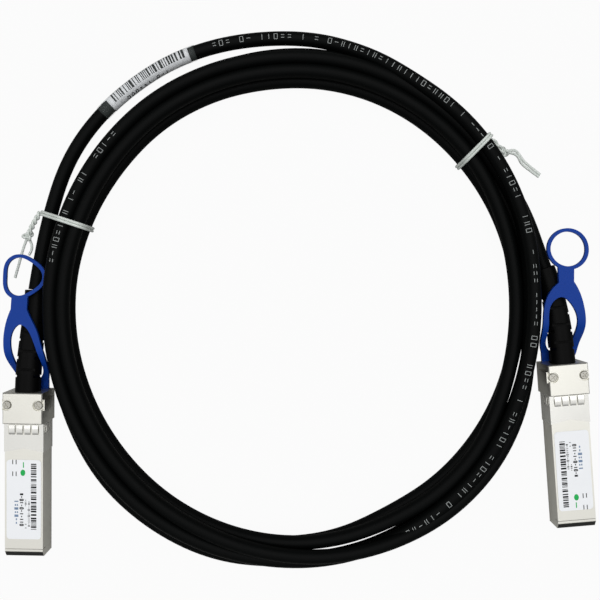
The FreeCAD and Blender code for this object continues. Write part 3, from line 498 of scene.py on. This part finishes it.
@dataclass
class Bundle:
    """The coil's outline and the place of each turn in it, in millimetres.

    `places` gives, by turns made since the left lead, how far the strand lies in from the outer
    edge and how high. About half a turn past each whole one they keep clear of the right tab.
    """

    centre: Flat = (-0.2, 31.1)
    across: float = 91.6
    along: float = 94.6
    points_per_turn: int = 24
    smoothing: float = 0.77
    first_turn: float = 0.36
    last_turn: float = 5.385
    places: dict[float, Flat] = field(default_factory=lambda: {
        0.3125: (3.0, 8.6), 0.375: (4.6, 9.9), 0.4375: (7.4, 12.3), 0.475: (9.2, 12.3),
        0.53: (9.3, 12.0), 0.625: (6.2, 8.8), 0.75: (3.6, 7.3), 0.875: (2.7, 9.9),
        1.0: (3.5, 11.2), 1.125: (3.6, 9.6), 1.25: (5.0, 6.9), 1.375: (6.4, 7.0),
        1.4375: (6.2, 7.3), 1.475: (9.0, 7.5), 1.5: (9.4, 7.5), 1.525: (9.0, 7.4),
        1.5625: (5.4, 7.6), 1.625: (2.6, 7.5), 1.75: (6.2, 11.4), 1.79: (8.2, 11.2),
        1.875: (7.9, 10.4),
        2.0: (8.1, 11.2), 2.125: (8.6, 9.4), 2.25: (10.0, 6.9), 2.375: (11.1, 7.1),
        2.475: (14.0, 7.2), 2.53: (14.0, 7.2), 2.625: (10.5, 7.1), 2.6875: (11.2, 7.1),
        2.75: (10.0, 7.2), 2.875: (8.0, 2.8),
        3.0: (7.2, 2.6), 3.125: (9.6, 2.6), 3.25: (12.5, 2.6), 3.375: (12.9, 2.6),
        3.5: (11.9, 2.6), 3.625: (12.2, 2.6), 3.6875: (12.6, 2.6), 3.75: (8.2, 2.8),
        3.875: (5.3, 6.2),
        4.0: (5.1, 6.8), 4.125: (6.3, 5.0), 4.25: (7.5, 2.6), 4.375: (8.8, 2.6), 4.5: (6.9, 3.0),
        4.625: (5.2, 2.8), 4.75: (2.6, 2.6), 4.8125: (-0.8, 2.6), 4.875: (-2.2, 2.6),
        4.9375: (-0.2, 2.6),
        5.0: (2.5, 2.6), 5.125: (2.5, 2.6), 5.25: (2.8, 2.6), 5.3125: (3.6, 2.6),
        5.375: (4.2, 2.6), 5.5: (1.0, 2.6),
    })

    def place(self, turn: float) -> Flat:
        """Inset from the bundle's outer edge and height of the strand.

        Args:
            turn: Turns made since the left lead.

        Returns:
            Inset and height, in millimetres.
        """
        marks = sorted(self.places)
        turn = min(max(turn, marks[0]), marks[-1])
        low = max(mark for mark in marks if mark <= turn)
        high = min(mark for mark in marks if mark >= turn)
        if high == low:
            return self.places[low]
        share = (turn - low) / (high - low)
        share = share * share * (3 - 2 * share)
        (inset, height), (inset_after, height_after) = self.places[low], self.places[high]
        return inset + (inset_after - inset) * share, height + (height_after - height) * share

    def point(self, turn: float) -> Vector:
        """Control point of the strand after so many turns.

        Args:
            turn: Turns made, clockwise from the left.

        Returns:
            The point, in metres.
        """
        inset, height = self.place(turn)
        angle = math.pi - math.tau * turn
        edge = Vector((self.across * math.cos(angle), self.along * math.sin(angle), 0))
        outward = Vector((math.cos(angle) / self.across, math.sin(angle) / self.along, 0))
        inward = -outward.normalized()
        spot = Vector((*self.centre, height)) + edge + inward * (inset - self.smoothing)
        return spot * MM

    def turns(self) -> list[Vector]:
        """Control points of all the coiled turns."""
        count = round((self.last_turn - self.first_turn) * self.points_per_turn)
        step = (self.last_turn - self.first_turn) / count
        return [self.point(self.first_turn + step * k) for k in range(count + 1)]


@dataclass
class Strand:
    """A smooth line sampled from a cord, with places along it by distance."""

    points: list[Vector]
    lengths: list[float]

    @classmethod
    def of(cls, cord: Piece) -> "Strand":
        """Read the cord's own line, with its thickness left out for the reading.

        Args:
            cord: The curve object.

        Returns:
            The sampled line.
        """
        depth = cord.data.bevel_depth
        cord.data.bevel_depth = 0.0
        fill, cord.data.use_fill_caps = cord.data.use_fill_caps, False
        mesh = shown_mesh(cord)
        points = [vertex.co.copy() for vertex in mesh.vertices]
        bpy.data.meshes.remove(mesh)
        cord.data.bevel_depth, cord.data.use_fill_caps = depth, fill
        lengths = [0.0]
        for before, after in zip(points, points[1:]):
            lengths.append(lengths[-1] + (after - before).length)
        return cls(points, lengths)

    @property
    def length(self) -> float:
        """Whole length of the line."""
        return self.lengths[-1]

    def at(self, distance: float) -> tuple[Vector, Vector]:
        """Point and heading at a distance along the line.

        Args:
            distance: Distance from the left boot.

        Returns:
            The point, and the direction in which the line runs there.
        """
        distance = min(max(distance, 0.0), self.length - 1e-9)
        low = min(bisect_right(self.lengths, distance), len(self.lengths) - 1) - 1
        before, after = self.points[low], self.points[low + 1]
        step = max(self.lengths[low + 1] - self.lengths[low], 1e-12)
        share = (distance - self.lengths[low]) / step
        return before.lerp(after, share), (after - before).normalized()

    def place(self, radius: float) -> Surface:
        """Make a function that lays flat places on the cord's surface.

        Args:
            radius: Radius of the surface, in millimetres.

        Returns:
            A function of millimetres along the line, round it from its top inwards, and off it.
        """
        def lay(along: float, beside: float, lift: float) -> Vector:
            """Point on the cord's surface."""
            point, heading = self.at(along * MM)
            inward = heading.cross(Vector((0, 0, 1))).normalized()
            top = inward.cross(heading)
            angle = beside / radius
            outward = top * math.cos(angle) + inward * math.sin(angle)
            return point + outward * (radius + lift) * MM
        return lay

    def nearest(self, spot: Flat, within: Flat) -> float:
        """Find how far along the line its point nearest to a place in plan lies.

        Args:
            spot: The place's X and Y, in millimetres.
            within: Least and greatest distance along the line that count, in metres.

        Returns:
            The distance along the line, in millimetres.
        """
        x, y = spot[0] * MM, spot[1] * MM
        near = [(math.hypot(p.x - x, p.y - y), d)
                for p, d in zip(self.points, self.lengths) if within[0] <= d <= within[1]]
        return min(near)[1] / MM


@dataclass(frozen=True)
class PrintRow:
    """Jacket printing between two places in plan, each sought within a stretch of the cable."""

    marks: Lettering
    start: Flat
    start_within: Flat
    end: Flat
    end_within: Flat


@dataclass
class Cable:
    """The twinax cable: both free ends and the coiled turns as one cord."""

    radius: float = 2.5
    bundle: Bundle = field(default_factory=Bundle)
    facets: int = 6
    steps: int = 8
    left_route: tuple[Spot, ...] = (
        (-94.7, 47.5, 3.1), (-91.2, 64.5, 2.9), (-85.4, 82.7, 2.9), (-76.3, 97.1, 3.0),
        (-64.0, 109.3, 3.0), (-48.4, 119.9, 3.0), (-31.0, 126.3, 3.0), (-12.5, 129.1, 2.8),
        (6.0, 128.6, 2.9), (22.6, 123.2, 5.2), (35.4, 115.6, 8.6))
    right_route: tuple[Spot, ...] = ((79.2, 70.6, 2.6), (83.3, 62.0, 2.6), (86.3, 53.5, 2.7))
    boot_ends: dict[Side, Flat] = field(default_factory=lambda: {
        Side.LEFT: (0.6, 36.0), Side.RIGHT: (-2.2, 34.0)})
    boot_end_height: float = 3.45
    print_rows: tuple[PrintRow, ...] = (
        PrintRow(Lettering(1.9, 2.5, 0.2, 11),
                 (-33.0, 126.5), (0.05, 0.3), (45.0, -51.5), (0.4, 0.9)),
        PrintRow(Lettering(1.9, 2.5, 0.2, 12),
                 (-90.0, 46.0), (0.5, 0.8), (-67.0, 96.0), (0.5, 0.9)))
    cord: Piece | None = None
    strand: Strand | None = None

    def build(self, frames: dict[Side, PlugFrame]) -> None:
        """Make the cord from the left boot round the coil to the right boot.

        Args:
            frames: The plugs' axes.
        """
        start = self.boot_end(Side.LEFT, frames)
        end = self.boot_end(Side.RIGHT, frames)
        points = [start] + [Vector(p) * MM for p in self.left_route]
        points += self.bundle.turns()
        points += [Vector(p) * MM for p in self.right_route] + [end]
        self.cord = curve_piece("cable", points, self.radius * MM, self.facets, self.steps)
        dress(self.cord, JACKET)
        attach(self.cord, ROOT_BODY)
        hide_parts("left_lead", "right_lead", "coil")
        self.strand = Strand.of(self.cord)
        LOG.info("cable of %.3f m", self.strand.length)

    def boot_end(self, side: Side, frames: dict[Side, PlugFrame]) -> Vector:
        """Middle of the boot's cable end, a little above the table.

        Args:
            side: Which end of the cable.
            frames: The plugs' axes.

        Returns:
            The point where the cable leaves the boot.
        """
        frame = frames[side]
        shift, reach = self.boot_ends[side]
        foot = frame.point(shift, frame.nose_length + reach, 0.0)
        up = Vector(frame.matrix.col[2][:3])
        return foot + up * ((self.boot_end_height * MM - foot.z) / up.z)

    def print_jacket(self) -> Piece:
        """Print rows of made-up marks along the top of the outer turns.

        Returns:
            The printing, as one piece.
        """
        shape = bmesh.new()
        place = self.strand.place(self.radius)
        for row in self.print_rows:
            start = self.strand.nearest(row.start, row.start_within)
            end = self.strand.nearest(row.end, row.end_within)
            row.marks.write(shape, place, start, end, 0.0)
        return finished("jacket_print", shape, PALE_INK)


@dataclass
class Sleeve:
    """White bar label under a clear film on the left free end."""

    label_ends: tuple[Flat, Flat] = ((-69.1, 104.05), (-39.4, 122.9))
    film_ends: tuple[Flat, Flat] = ((-71.9, 101.9), (-37.6, 123.4))
    bar_ends: tuple[Flat, Flat] = ((-68.0, 105.3), (-41.3, 121.8))
    within: Flat = (0.02, 0.25)
    label_radius: float = 2.66
    film_radius: float = 2.84
    wall: float = 0.1
    overhang: float = 2.6
    overhang_from: float = 0.75
    overhang_ramp: float = 0.12
    sides: int = 32
    least_rings: int = 12
    bar_band: Flat = (-3.3, 1.25)
    text_insets: Flat = (4.5, 6.0)
    text_beside: float = 3.3

    def span(self, strand: Strand, ends: tuple[Flat, Flat]) -> Flat:
        """Find two places in plan along the cable.

        Args:
            strand: The cable's line.
            ends: The two places, in millimetres.

        Returns:
            Their distances along the cable, in millimetres.
        """
        start, end = (strand.nearest(spot, self.within) for spot in ends)
        return start, end

    def tube(self, name: str, strand: Strand, ends: tuple[Flat, Flat], radius: float,
             slant: float, finish: Finish) -> Piece:
        """Wrap a thin tube round the cable.

        Args:
            name: The piece's name.
            strand: The cable's line.
            ends: Places in plan where it begins and ends.
            radius: Outer radius.
            slant: How much farther its ends reach on the coil's outer side.
            finish: Its finish.

        Returns:
            The finished piece.
        """
        start, end = self.span(strand, ends)
        shape = bmesh.new()
        place = strand.place(radius)
        count = max(self.least_rings, round(end - start))
        skins = []
        for lift in (0.0, -self.wall):
            rings = []
            for k in range(count + 1):
                ring = []
                for turn in range(self.sides):
                    angle = math.tau * turn / self.sides
                    outward = (-math.sin(angle) - self.overhang_from) / self.overhang_ramp
                    reach = slant * max(0.0, min(1.0, outward)) * (2 * k / count - 1)
                    at = start + (end - start) * k / count + reach
                    ring.append(shape.verts.new(place(at, angle * radius, lift)))
                rings.append(ring)
            skins.append(rings)
        outer, inner = skins
        for rings in skins:
            for one, two in zip(rings, rings[1:]):
                join_rings(shape, one, two)
        for k in (0, -1):
            join_rings(shape, outer[k], inner[k])
        return finished(name, shape, finish, smooth=True)

    def build(self, strand: Strand) -> list[Piece]:
        """Make the label, its printing and the film.

        Args:
            strand: The cable's line.

        Returns:
            The pieces, which move with the cable.
        """
        label = self.tube("bar_label", strand, self.label_ends, self.label_radius,
                          self.overhang, PAPER)
        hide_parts("barcode_label")
        film = self.tube("film_sleeve", strand, self.film_ends, self.film_radius, 0.0, FILM)
        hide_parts("clear_sleeve")
        shape = bmesh.new()
        place = strand.place(self.label_radius)
        start, end = self.span(strand, self.bar_ends)
        bar_code(shape, place, (start, end), self.bar_band, seed=5, steps=8, grain=1.5)
        text = Lettering(height=1.3, advance=1.9, stroke=0.34, seed=21, gaps=0.05)
        text.write(shape, place, start + self.text_insets[0], end - self.text_insets[1],
                   self.text_beside)
        return [label, film, finished("bar_label_print", shape, INK)]


@dataclass
class Tie:
    """Doubled soft tie round the bundle, with a twisted neck, a knot and two tails."""

    name: str
    node: str
    outer: Flat
    inner: Flat
    knot: Spot
    knot_turn: float
    tails: tuple[tuple[Spot, ...], ...]
    twists: float
    radius: float = 0.5
    clearance: float = 0.25
    beyond: float = 6.0
    round_steps: int = 24
    ring_points: int = 40
    apart: float = 0.98
    neck_start: Flat = (0.2, 1.0)
    neck_rise: float = 0.8
    neck_winding: float = 1.1
    neck_steps: int = 8
    knot_size: Spot = (0.62, 0.5, 0.75)
    facets: int = 3
    steps: int = 3

    def axes(self) -> tuple[Vector, Vector, Vector, float]:
        """Set out the plane in which the tie goes round the bundle.

        Returns:
            Its outer side, the way across the bundle, the way along the cable, and its width.
        """
        outer, inner = Vector((*self.outer, 0)) * MM, Vector((*self.inner, 0)) * MM
        across = (inner - outer).normalized()
        return outer, across, across.cross(Vector((0, 0, 1))), (inner - outer).length

    def crossings(self, strand: Strand) -> list[Flat]:
        """Find where the cable passes through the tie.

        Args:
            strand: The cable's line.

        Returns:
            Distance from the outer side and height of each place, in millimetres.
        """
        outer, across, ahead, reach = self.axes()
        found = []
        for before, after in zip(strand.points, strand.points[1:]):
            low, high = (before - outer).dot(ahead), (after - outer).dot(ahead)
            if low * high > 0 or low == high:
                continue
            spot = before.lerp(after, low / (low - high))
            along = (spot - outer).dot(across)
            if -self.beyond * MM < along < reach + self.beyond * MM:
                found.append((along / MM, spot.z / MM))
        return found

    def hull(self, strand: Strand) -> list[Flat]:
        """Draw a closed outline tight round the cable's turns.

        Args:
            strand: The cable's line.

        Returns:
            The outline's corners, in millimetres.
        """
        clear = Cable.radius + self.radius + self.clearance
        steps = [math.tau * k / self.round_steps for k in range(self.round_steps)]
        cloud = sorted((x + clear * math.cos(a), max(z + clear * math.sin(a), self.radius))
                       for x, z in self.crossings(strand) for a in steps)

        def chain(points: list[Flat]) -> list[Flat]:
            """Keep the corners on one side of the cloud.

            Args:
                points: The cloud, in order.

            Returns:
                The corners, without the last.
            """
            kept: list[Flat] = []
            for x, z in points:
                while len(kept) > 1:
                    (x0, z0), (x1, z1) = kept[-2], kept[-1]
                    if (x1 - x0) * (z - z0) - (z1 - z0) * (x - x0) > 0:
                        break
                    kept.pop()
                kept.append((x, z))
            return kept[:-1]
        return chain(cloud) + chain(cloud[::-1])

    def evenly(self, outline: list[Flat]) -> list[Flat]:
        """Set points at even steps round a closed outline.

        Args:
            outline: Its corners.

        Returns:
            The points of the tie's ring.
        """
        ring = outline + outline[:1]
        lengths = [0.0]
        for (x0, z0), (x1, z1) in zip(ring, ring[1:]):
            lengths.append(lengths[-1] + math.hypot(x1 - x0, z1 - z0))
        points, k = [], 0
        for step in range(self.ring_points):
            target = lengths[-1] * step / self.ring_points
            while lengths[k + 1] < target:
                k += 1
            share = (target - lengths[k]) / (lengths[k + 1] - lengths[k])
            (x0, z0), (x1, z1) = ring[k], ring[k + 1]
            points.append((x0 + (x1 - x0) * share, z0 + (z1 - z0) * share))
        return points

    def build(self, strand: Strand) -> Piece:
        """Make the tie as one piece of several round strands.

        Args:
            strand: The cable's line.

        Returns:
            The finished piece.
        """
        outer, across, ahead, _ = self.axes()
        ring = self.evenly(self.hull(strand))
        lines = []
        for sign in (-1, 1):
            beside = ahead * sign * self.radius * self.apart * MM
            lines.append(([outer + across * x * MM + Vector((0, 0, z * MM)) + beside
                           for x, z in ring], True))
        x, z = min(ring)
        back, lift = self.neck_start
        neck_start = outer + across * (x - back) * MM + Vector((0, 0, (z + lift) * MM))
        knot = Vector(self.knot) * MM
        lines += [(self.twisted(neck_start, knot, phase), False) for phase in (0.0, math.pi)]
        lines.append((self.knot_line(knot), True))
        lines += [([knot] + [Vector(p) * MM for p in tail], False) for tail in self.tails]
        shape = bmesh.new()
        for points, closed in lines:
            part = curve_piece(f"{self.name}_line", points, self.radius * MM,
                               self.facets, self.steps, closed)
            mesh = shown_mesh(part)
            shape.from_mesh(mesh)
            bpy.data.meshes.remove(mesh)
            curve = part.data
            bpy.data.objects.remove(part)
            bpy.data.curves.remove(curve)
        piece = finished(self.name, shape, TIE, smooth=True)
        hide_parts(self.node)
        return piece

    def twisted(self, start: Vector, end: Vector, phase: float) -> list[Vector]:
        """Wind one of the neck's two strands round the other.

        Args:
            start: Where the neck begins.
            end: Where it ends.
            phase: Angle at which this strand starts.

        Returns:
            Its control points.
        """
        along = end - start
        beside = along.cross(Vector((0, 0, 1))).normalized()
        over = beside.cross(along).normalized()
        count = max(self.neck_steps, round(self.twists * self.neck_steps))
        points = []
        for k in range(count + 1):
            share = k / count
            angle = phase + math.tau * self.twists * share
            rise = self.neck_rise * MM * math.sin(math.pi * share)
            middle = along * share + Vector((0, 0, rise))
            round_it = beside * math.cos(angle) + over * math.sin(angle)
            points.append(start + middle + round_it * self.radius * self.neck_winding * MM)
        return points

    def knot_line(self, middle: Vector) -> list[Vector]:
        """Draw a small overhand knot.

        Args:
            middle: The knot's middle.

        Returns:
            Its control points.
        """
        wide, deep, high = self.knot_size
        turn = Quaternion((0, 0, 1), math.radians(self.knot_turn))
        points = []
        for k in range(self.round_steps):
            a = math.tau * k / self.round_steps
            x, y = math.sin(a) + 2 * math.sin(2 * a), math.cos(a) - 2 * math.cos(2 * a)
            spot = Vector((x * wide, y * deep, -math.sin(3 * a) * high))
            points.append(middle + turn @ spot * MM)
        return points


TIES = (
    Tie("left_tie_cord", "left_tie", (-95.4, 65.6), (-76.2, 59.3), (-99.6, 56.9, 1.9), 20.0,
        (((-101.6, 53.2, 0.9), (-103.2, 47.5, 0.6), (-104.9, 41.6, 0.6)),
         ((-98.9, 55.0, 1.0), (-98.5, 52.9, 0.8), (-99.0, 51.3, 0.6), (-99.8, 50.0, 0.6))), 2.5),
    Tie("right_tie_cord", "right_tie", (69.6, 94.3), (57.6, 81.9), (74.6, 87.4, 2.3), 75.0,
        (((77.0, 88.4, 1.5), (79.6, 88.6, 0.9), (82.1, 84.6, 0.7), (85.2, 82.2, 0.6),
          (88.4, 79.6, 0.6)),
         ((77.2, 87.6, 1.3), (80.0, 86.8, 0.8), (81.4, 83.6, 0.6), (84.6, 81.2, 0.6),
          (87.9, 78.8, 0.6))), 1.2),
)


# --- plug details


@dataclass(frozen=True)
class LabelRow:
    """One row of marks on a plug's label, with its ends along the label and its place across."""

    marks: Lettering
    start: float
    end: float
    across: float

    def write(self, shape: Shape, place: Surface) -> None:
        """Write the row along the label."""
        self.marks.write(shape, place, self.start, self.end, self.across, upright=False)


BLACK_ROWS = (
    LabelRow(Lettering(1.15, 1.0, 0.34, 31, 0.05), -37.6, -24.4, -0.75),
    LabelRow(Lettering(0.7, 0.72, 0.2, 32, 0.1), -37.6, -27.0, 1.85),
    LabelRow(Lettering(0.6, 0.66, 0.2, 33, 0.1), -29.6, -26.8, 0.7),
    LabelRow(Lettering(0.6, 0.66, 0.2, 34, 0.1), -37.6, -35.6, 0.7),
)
BLUE_ROW = LabelRow(Lettering(1.4, 1.3, 0.42, 35, 0.05), -36.0, -26.6, -2.6)


@dataclass
class PlugDetails:
    """Printing, gold pads and painted end reflection of one plug, in its own millimetres."""

    frame: PlugFrame
    label_top: float = 8.62
    label_middle: float = -27.25
    bar_run: Flat = (-38.0, -14.0)
    bar_band: Flat = (2.55, 4.5)
    corner_marks: tuple[float, ...] = (-18.8, -14.6)
    corner_across: Flat = (-3.9, -2.7)
    corner_size: Flat = (1.6, 0.3)
    dot: Flat = (-0.3, -17.6)
    dot_reach: Flat = (0.85, 1.15)
    dot_sides: int = 20
    dash_run: Flat = (-15.8, -13.8)
    dash_across: float = -0.1
    dash_width: float = 0.35
    card_low: float = 3.6
    card_high: float = 4.6
    pads: int = 10
    pad_first: float = -3.6
    pad_pitch: float = 0.8
    pad_width: float = 0.55
    pad_run: Flat = (-46.6, -42.4)
    slope_drop: float = 1.25
    slope_run: float = 2.0
    slope_front: float = -48.0
    slope_top: float = 8.5
    strip_insets: Flat = (0.12, 0.25)
    strip_width: float = 13.3

    def label_place(self) -> Surface:
        """Make the function that lays flat places on the label.

        Returns:
            A function of a place and a lift; one plug's label is read the other way up.
        """
        sign = 1 if self.frame.side is Side.LEFT else -1
        middle = self.label_middle

        def lay(x: float, y: float, lift: float) -> Vector:
            """Point on the label."""
            return self.frame.point(sign * x, middle + sign * (y - middle), self.label_top + lift)
        return lay

    def build(self) -> None:
        """Make all of the plug's small surface details."""
        side, place = self.frame.side.value, self.label_place()
        ink, blue = bmesh.new(), bmesh.new()
        bar_code(ink, place, self.bar_run, self.bar_band, seed=8, upright=False)
        for row in BLACK_ROWS:
            row.write(ink, place)
        long, width = self.corner_size
        for at in self.corner_marks:
            for across in self.corner_across:
                ribbon(ink, place, [(across, at), (across, at + long)], width)
        finished(f"{side}_label_print", ink, INK)
        BLUE_ROW.write(blue, place)
        finished(f"{side}_label_blue", blue, GREY_INK)
        self.green_dot()
        self.gold_pads()
        # Painted dark reflection on the lead-in slope.
        self.painted_reflection_strip()

    def green_dot(self) -> None:
        """Plain green dot with a dash after it."""
        green, place, count = bmesh.new(), self.label_place(), self.dot_sides
        (x, y), (wide, long) = self.dot, self.dot_reach
        steps = [math.tau * k / count for k in range(count)]
        for lift in (-INK_LIFT, INK_LIFT):
            rim = [green.verts.new(place(x + wide * math.cos(a), y + long * math.sin(a), lift))
                   for a in steps]
            green.faces.new(rim if lift > 0 else rim[::-1])
        join_rings(green, list(green.verts)[:count], list(green.verts)[count:])
        ribbon(green, place, [(self.dash_across, at) for at in self.dash_run], self.dash_width)
        finished(f"{self.frame.side.value}_label_green", green, GREEN_INK)

    def gold_pads(self) -> None:
        """Contact pads on both faces of the card's front edge."""
        shape = bmesh.new()
        for height, way in ((self.card_high, 1), (self.card_low, -1)):
            def lay(x: float, y: float, lift: float, height: float = height,
                    way: int = way) -> Vector:
                """Point on one face of the card."""
                return self.frame.point(x, y, height + way * lift)
            for k in range(self.pads):
                across = self.pad_first + self.pad_pitch * k
                ribbon(shape, lay, [(across, at) for at in self.pad_run], self.pad_width)
        finished(f"{self.frame.side.value}_gold_pads", shape, GOLD)

    def painted_reflection_strip(self) -> None:
        """Painted dark reflection: a dark strip on the lead-in slope above the mating end."""
        shape = bmesh.new()
        drop, run, low = self.slope_drop, self.slope_run, self.slope_top - self.slope_drop
        slope = math.hypot(drop, run)

        def lay(x: float, along: float, lift: float) -> Vector:
            """Point on the slope."""
            share = along / slope
            return self.frame.point(x, self.slope_front + run * share - lift * drop / slope,
                                    low + drop * share + lift * run / slope)
        front, back = self.strip_insets
        ribbon(shape, lay, [(0.0, front), (0.0, slope - back)], self.strip_width)
        finished(f"{self.frame.side.value}_painted_reflection_strip", shape, PAINTED_REFLECTION)


def soft_spring(plug: PlugFrame, node: Piece,
                weld: float = 0.0005) -> None:
    """Put in a welded copy of the return spring in place of the rigid one.

    Args:
        plug: The plug's own axes.
        node: The rigid spring that it stands for.
        weld: Vertices nearer than this become one.
    """
    side = plug.side.value
    shape = bmesh.new()
    shape.from_mesh(node.data)
    bmesh.ops.transform(shape, matrix=node.matrix_world, verts=shape.verts)
    bmesh.ops.remove_doubles(shape, verts=shape.verts, dist=weld * MM)
    ahead = (plug.point(0, 1, 0) - plug.point(0, 0, 0)).normalized()
    ends = sorted(vertex.co.dot(ahead) for vertex in shape.verts)
    far = max(shape.verts, key=lambda vertex: vertex.co.dot(ahead)).co.copy()
    piece = dress(new_piece(f"{side}_spring_wire", shape), STAMPED)
    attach(piece, ROOT_BODY)
    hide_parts(node.name)
    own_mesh(piece)


# --- studio


@dataclass
class Studio:
    """Pale floor, soft light and the camera above the coil."""

    eye: tuple[float, float, float] = (0.0, 33.5, 250.0)
    focal_share: float = 677.5 / 600.0
    sensor: float = 36.0
    nearest: float = 0.01
    floor_half: float = 3.0
    floor_colour: Spot = (0.34, 0.34, 0.33)
    floor_roughness: float = 0.9
    floor_glow: float = 0.95
    horizon: Flat = (0.42, 0.10)
    overhead: Flat = (0.72, 0.95)
    lamps: tuple[tuple[str, Spot, float, float], ...] = (
        ("overhead", (0.05, 0.25, 0.9), 0.9, 3.2), ("side", (-0.9, 0.5, 0.8), 0.6, 1.2))
    lamp_aim: Spot = (0.0, 0.03, 0.0)

    def build(self) -> None:
        """Set up the floor, the light, the world and the camera."""
        self.make_camera()
        self.make_floor()
        self.make_world()
        self.make_lamps()
        bpy.context.scene.view_settings.view_transform = "Standard"

    def make_camera(self) -> None:
        """Camera that looks straight down on the coil."""
        data = bpy.data.cameras.new("camera")
        data.sensor_width = self.sensor
        data.lens = data.sensor_width * self.focal_share
        data.clip_start = self.nearest
        camera = bpy.data.objects.new("camera", data)
        camera.location = Vector(self.eye) * MM
        bpy.context.scene.collection.objects.link(camera)
        bpy.context.scene.camera = camera

    def eye_mix(self, tree: Tree, seen: bpy.types.Node, lit: bpy.types.Node,
                output: str, most: float) -> None:
        """Show one shader to the camera and another to all other rays.

        Args:
            tree: The node tree.
            seen: Shader for the camera.
            lit: Shader for the other rays.
            output: Name of the tree's output node.
            most: Share of `seen` that the camera gets.
        """
        mix, rays = tree.nodes.new("ShaderNodeMixShader"), tree.nodes.new("ShaderNodeLightPath")
        share = tree.nodes.new("ShaderNodeMath")
        share.operation = "MULTIPLY"
        share.inputs[1].default_value = most
        tree.links.new(rays.outputs["Is Camera Ray"], share.inputs[0])
        for k, source in enumerate((share, lit, seen)):
            tree.links.new(source.outputs[0], mix.inputs[k])
        tree.links.new(mix.outputs[0], tree.nodes[output].inputs["Surface"])

    def make_floor(self) -> None:
        """Plain pale floor that shows white to the eye and keeps a faint shadow."""
        shape = bmesh.new()
        bmesh.ops.create_grid(shape, x_segments=1, y_segments=1, size=self.floor_half)
        floor = new_piece("floor", shape)
        made = bpy.data.materials.new("floor")
        made.use_nodes = True
        tree = made.node_tree
        shader = tree.nodes["Principled BSDF"]
        shader.inputs["Base Color"].default_value = (*self.floor_colour, 1.0)
        shader.inputs["Roughness"].default_value = self.floor_roughness
        glow = tree.nodes.new("ShaderNodeEmission")
        glow.inputs["Strength"].default_value = 1.0
        self.eye_mix(tree, glow, shader, "Material Output", self.floor_glow)
        floor.data.materials.append(made)

    def make_world(self) -> None:
        """World that is white to the eye, and in reflections bright overhead and dark below."""
        world = bpy.data.worlds.new("studio")
        world.use_nodes = True
        bpy.context.scene.world = world
        tree = world.node_tree
        back = tree.nodes["Background"]
        place = tree.nodes.new("ShaderNodeTexCoord")
        split = tree.nodes.new("ShaderNodeSeparateXYZ")
        ramp = tree.nodes.new("ShaderNodeValToRGB")
        tree.links.new(place.outputs["Generated"], split.inputs[0])
        tree.links.new(split.outputs["Z"], ramp.inputs[0])
        for stop, (height, grey) in zip(ramp.color_ramp.elements, (self.horizon, self.overhead)):
            stop.position = height
            stop.color = (grey, grey, grey, 1.0)
        tree.links.new(ramp.outputs[0], back.inputs["Color"])
        plain = tree.nodes.new("ShaderNodeBackground")
        plain.inputs["Color"].default_value = (1.0, 1.0, 1.0, 1.0)
        self.eye_mix(tree, plain, back, "World Output", 1.0)

    def make_lamps(self) -> None:
        """Large soft lamps overhead and to one side."""
        for name, place, size, power in self.lamps:
            data = bpy.data.lights.new(name, "AREA")
            data.shape = "SQUARE"
            data.size = size
            data.energy = power
            lamp = bpy.data.objects.new(name, data)
            lamp.location = place
            aim = Vector(self.lamp_aim) - lamp.location
            lamp.rotation_mode = "QUATERNION"
            lamp.rotation_quaternion = aim.to_track_quat("-Z", "Y")
            bpy.context.scene.collection.objects.link(lamp)


# --- whole object


CAD_FINISHES = {
    "base": PLATED, "cover": PLATED, "emi_collar": STAMPED, "cover_screws": SCREW_STEEL_AND_SHADE,
    "plug_label": PAPER, "paddle_card": CARD, "cable_ferrule": FERRULE, "wire_pairs": CORES,
    "boot": BOOT, "pull_tab": TAB, "slider": STAMPED, "return_spring": STAMPED,
}


def main() -> None:
    """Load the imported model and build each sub-assembly in order."""
    logging.basicConfig(level=logging.INFO, format="%(name)s: %(message)s")
    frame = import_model()
    frames = {side: PlugFrame.of(side, frame["record"]) for side in Side}
    Studio().build()
    cable = Cable()
    cable.build(frames)
    for side in Side:
        for node, finish in CAD_FINISHES.items():
            dress(frame["nodes"][f"{side.value}_{node}"], finish)
        PlugDetails(frames[side]).build()
        soft_spring(frames[side], frame["nodes"][f"{side.value}_return_spring"])
    on_cable = [cable.print_jacket(), *Sleeve().build(cable.strand)]
    on_cable += [tie.build(cable.strand) for tie in TIES]


if __name__ == "__main__":
    main()
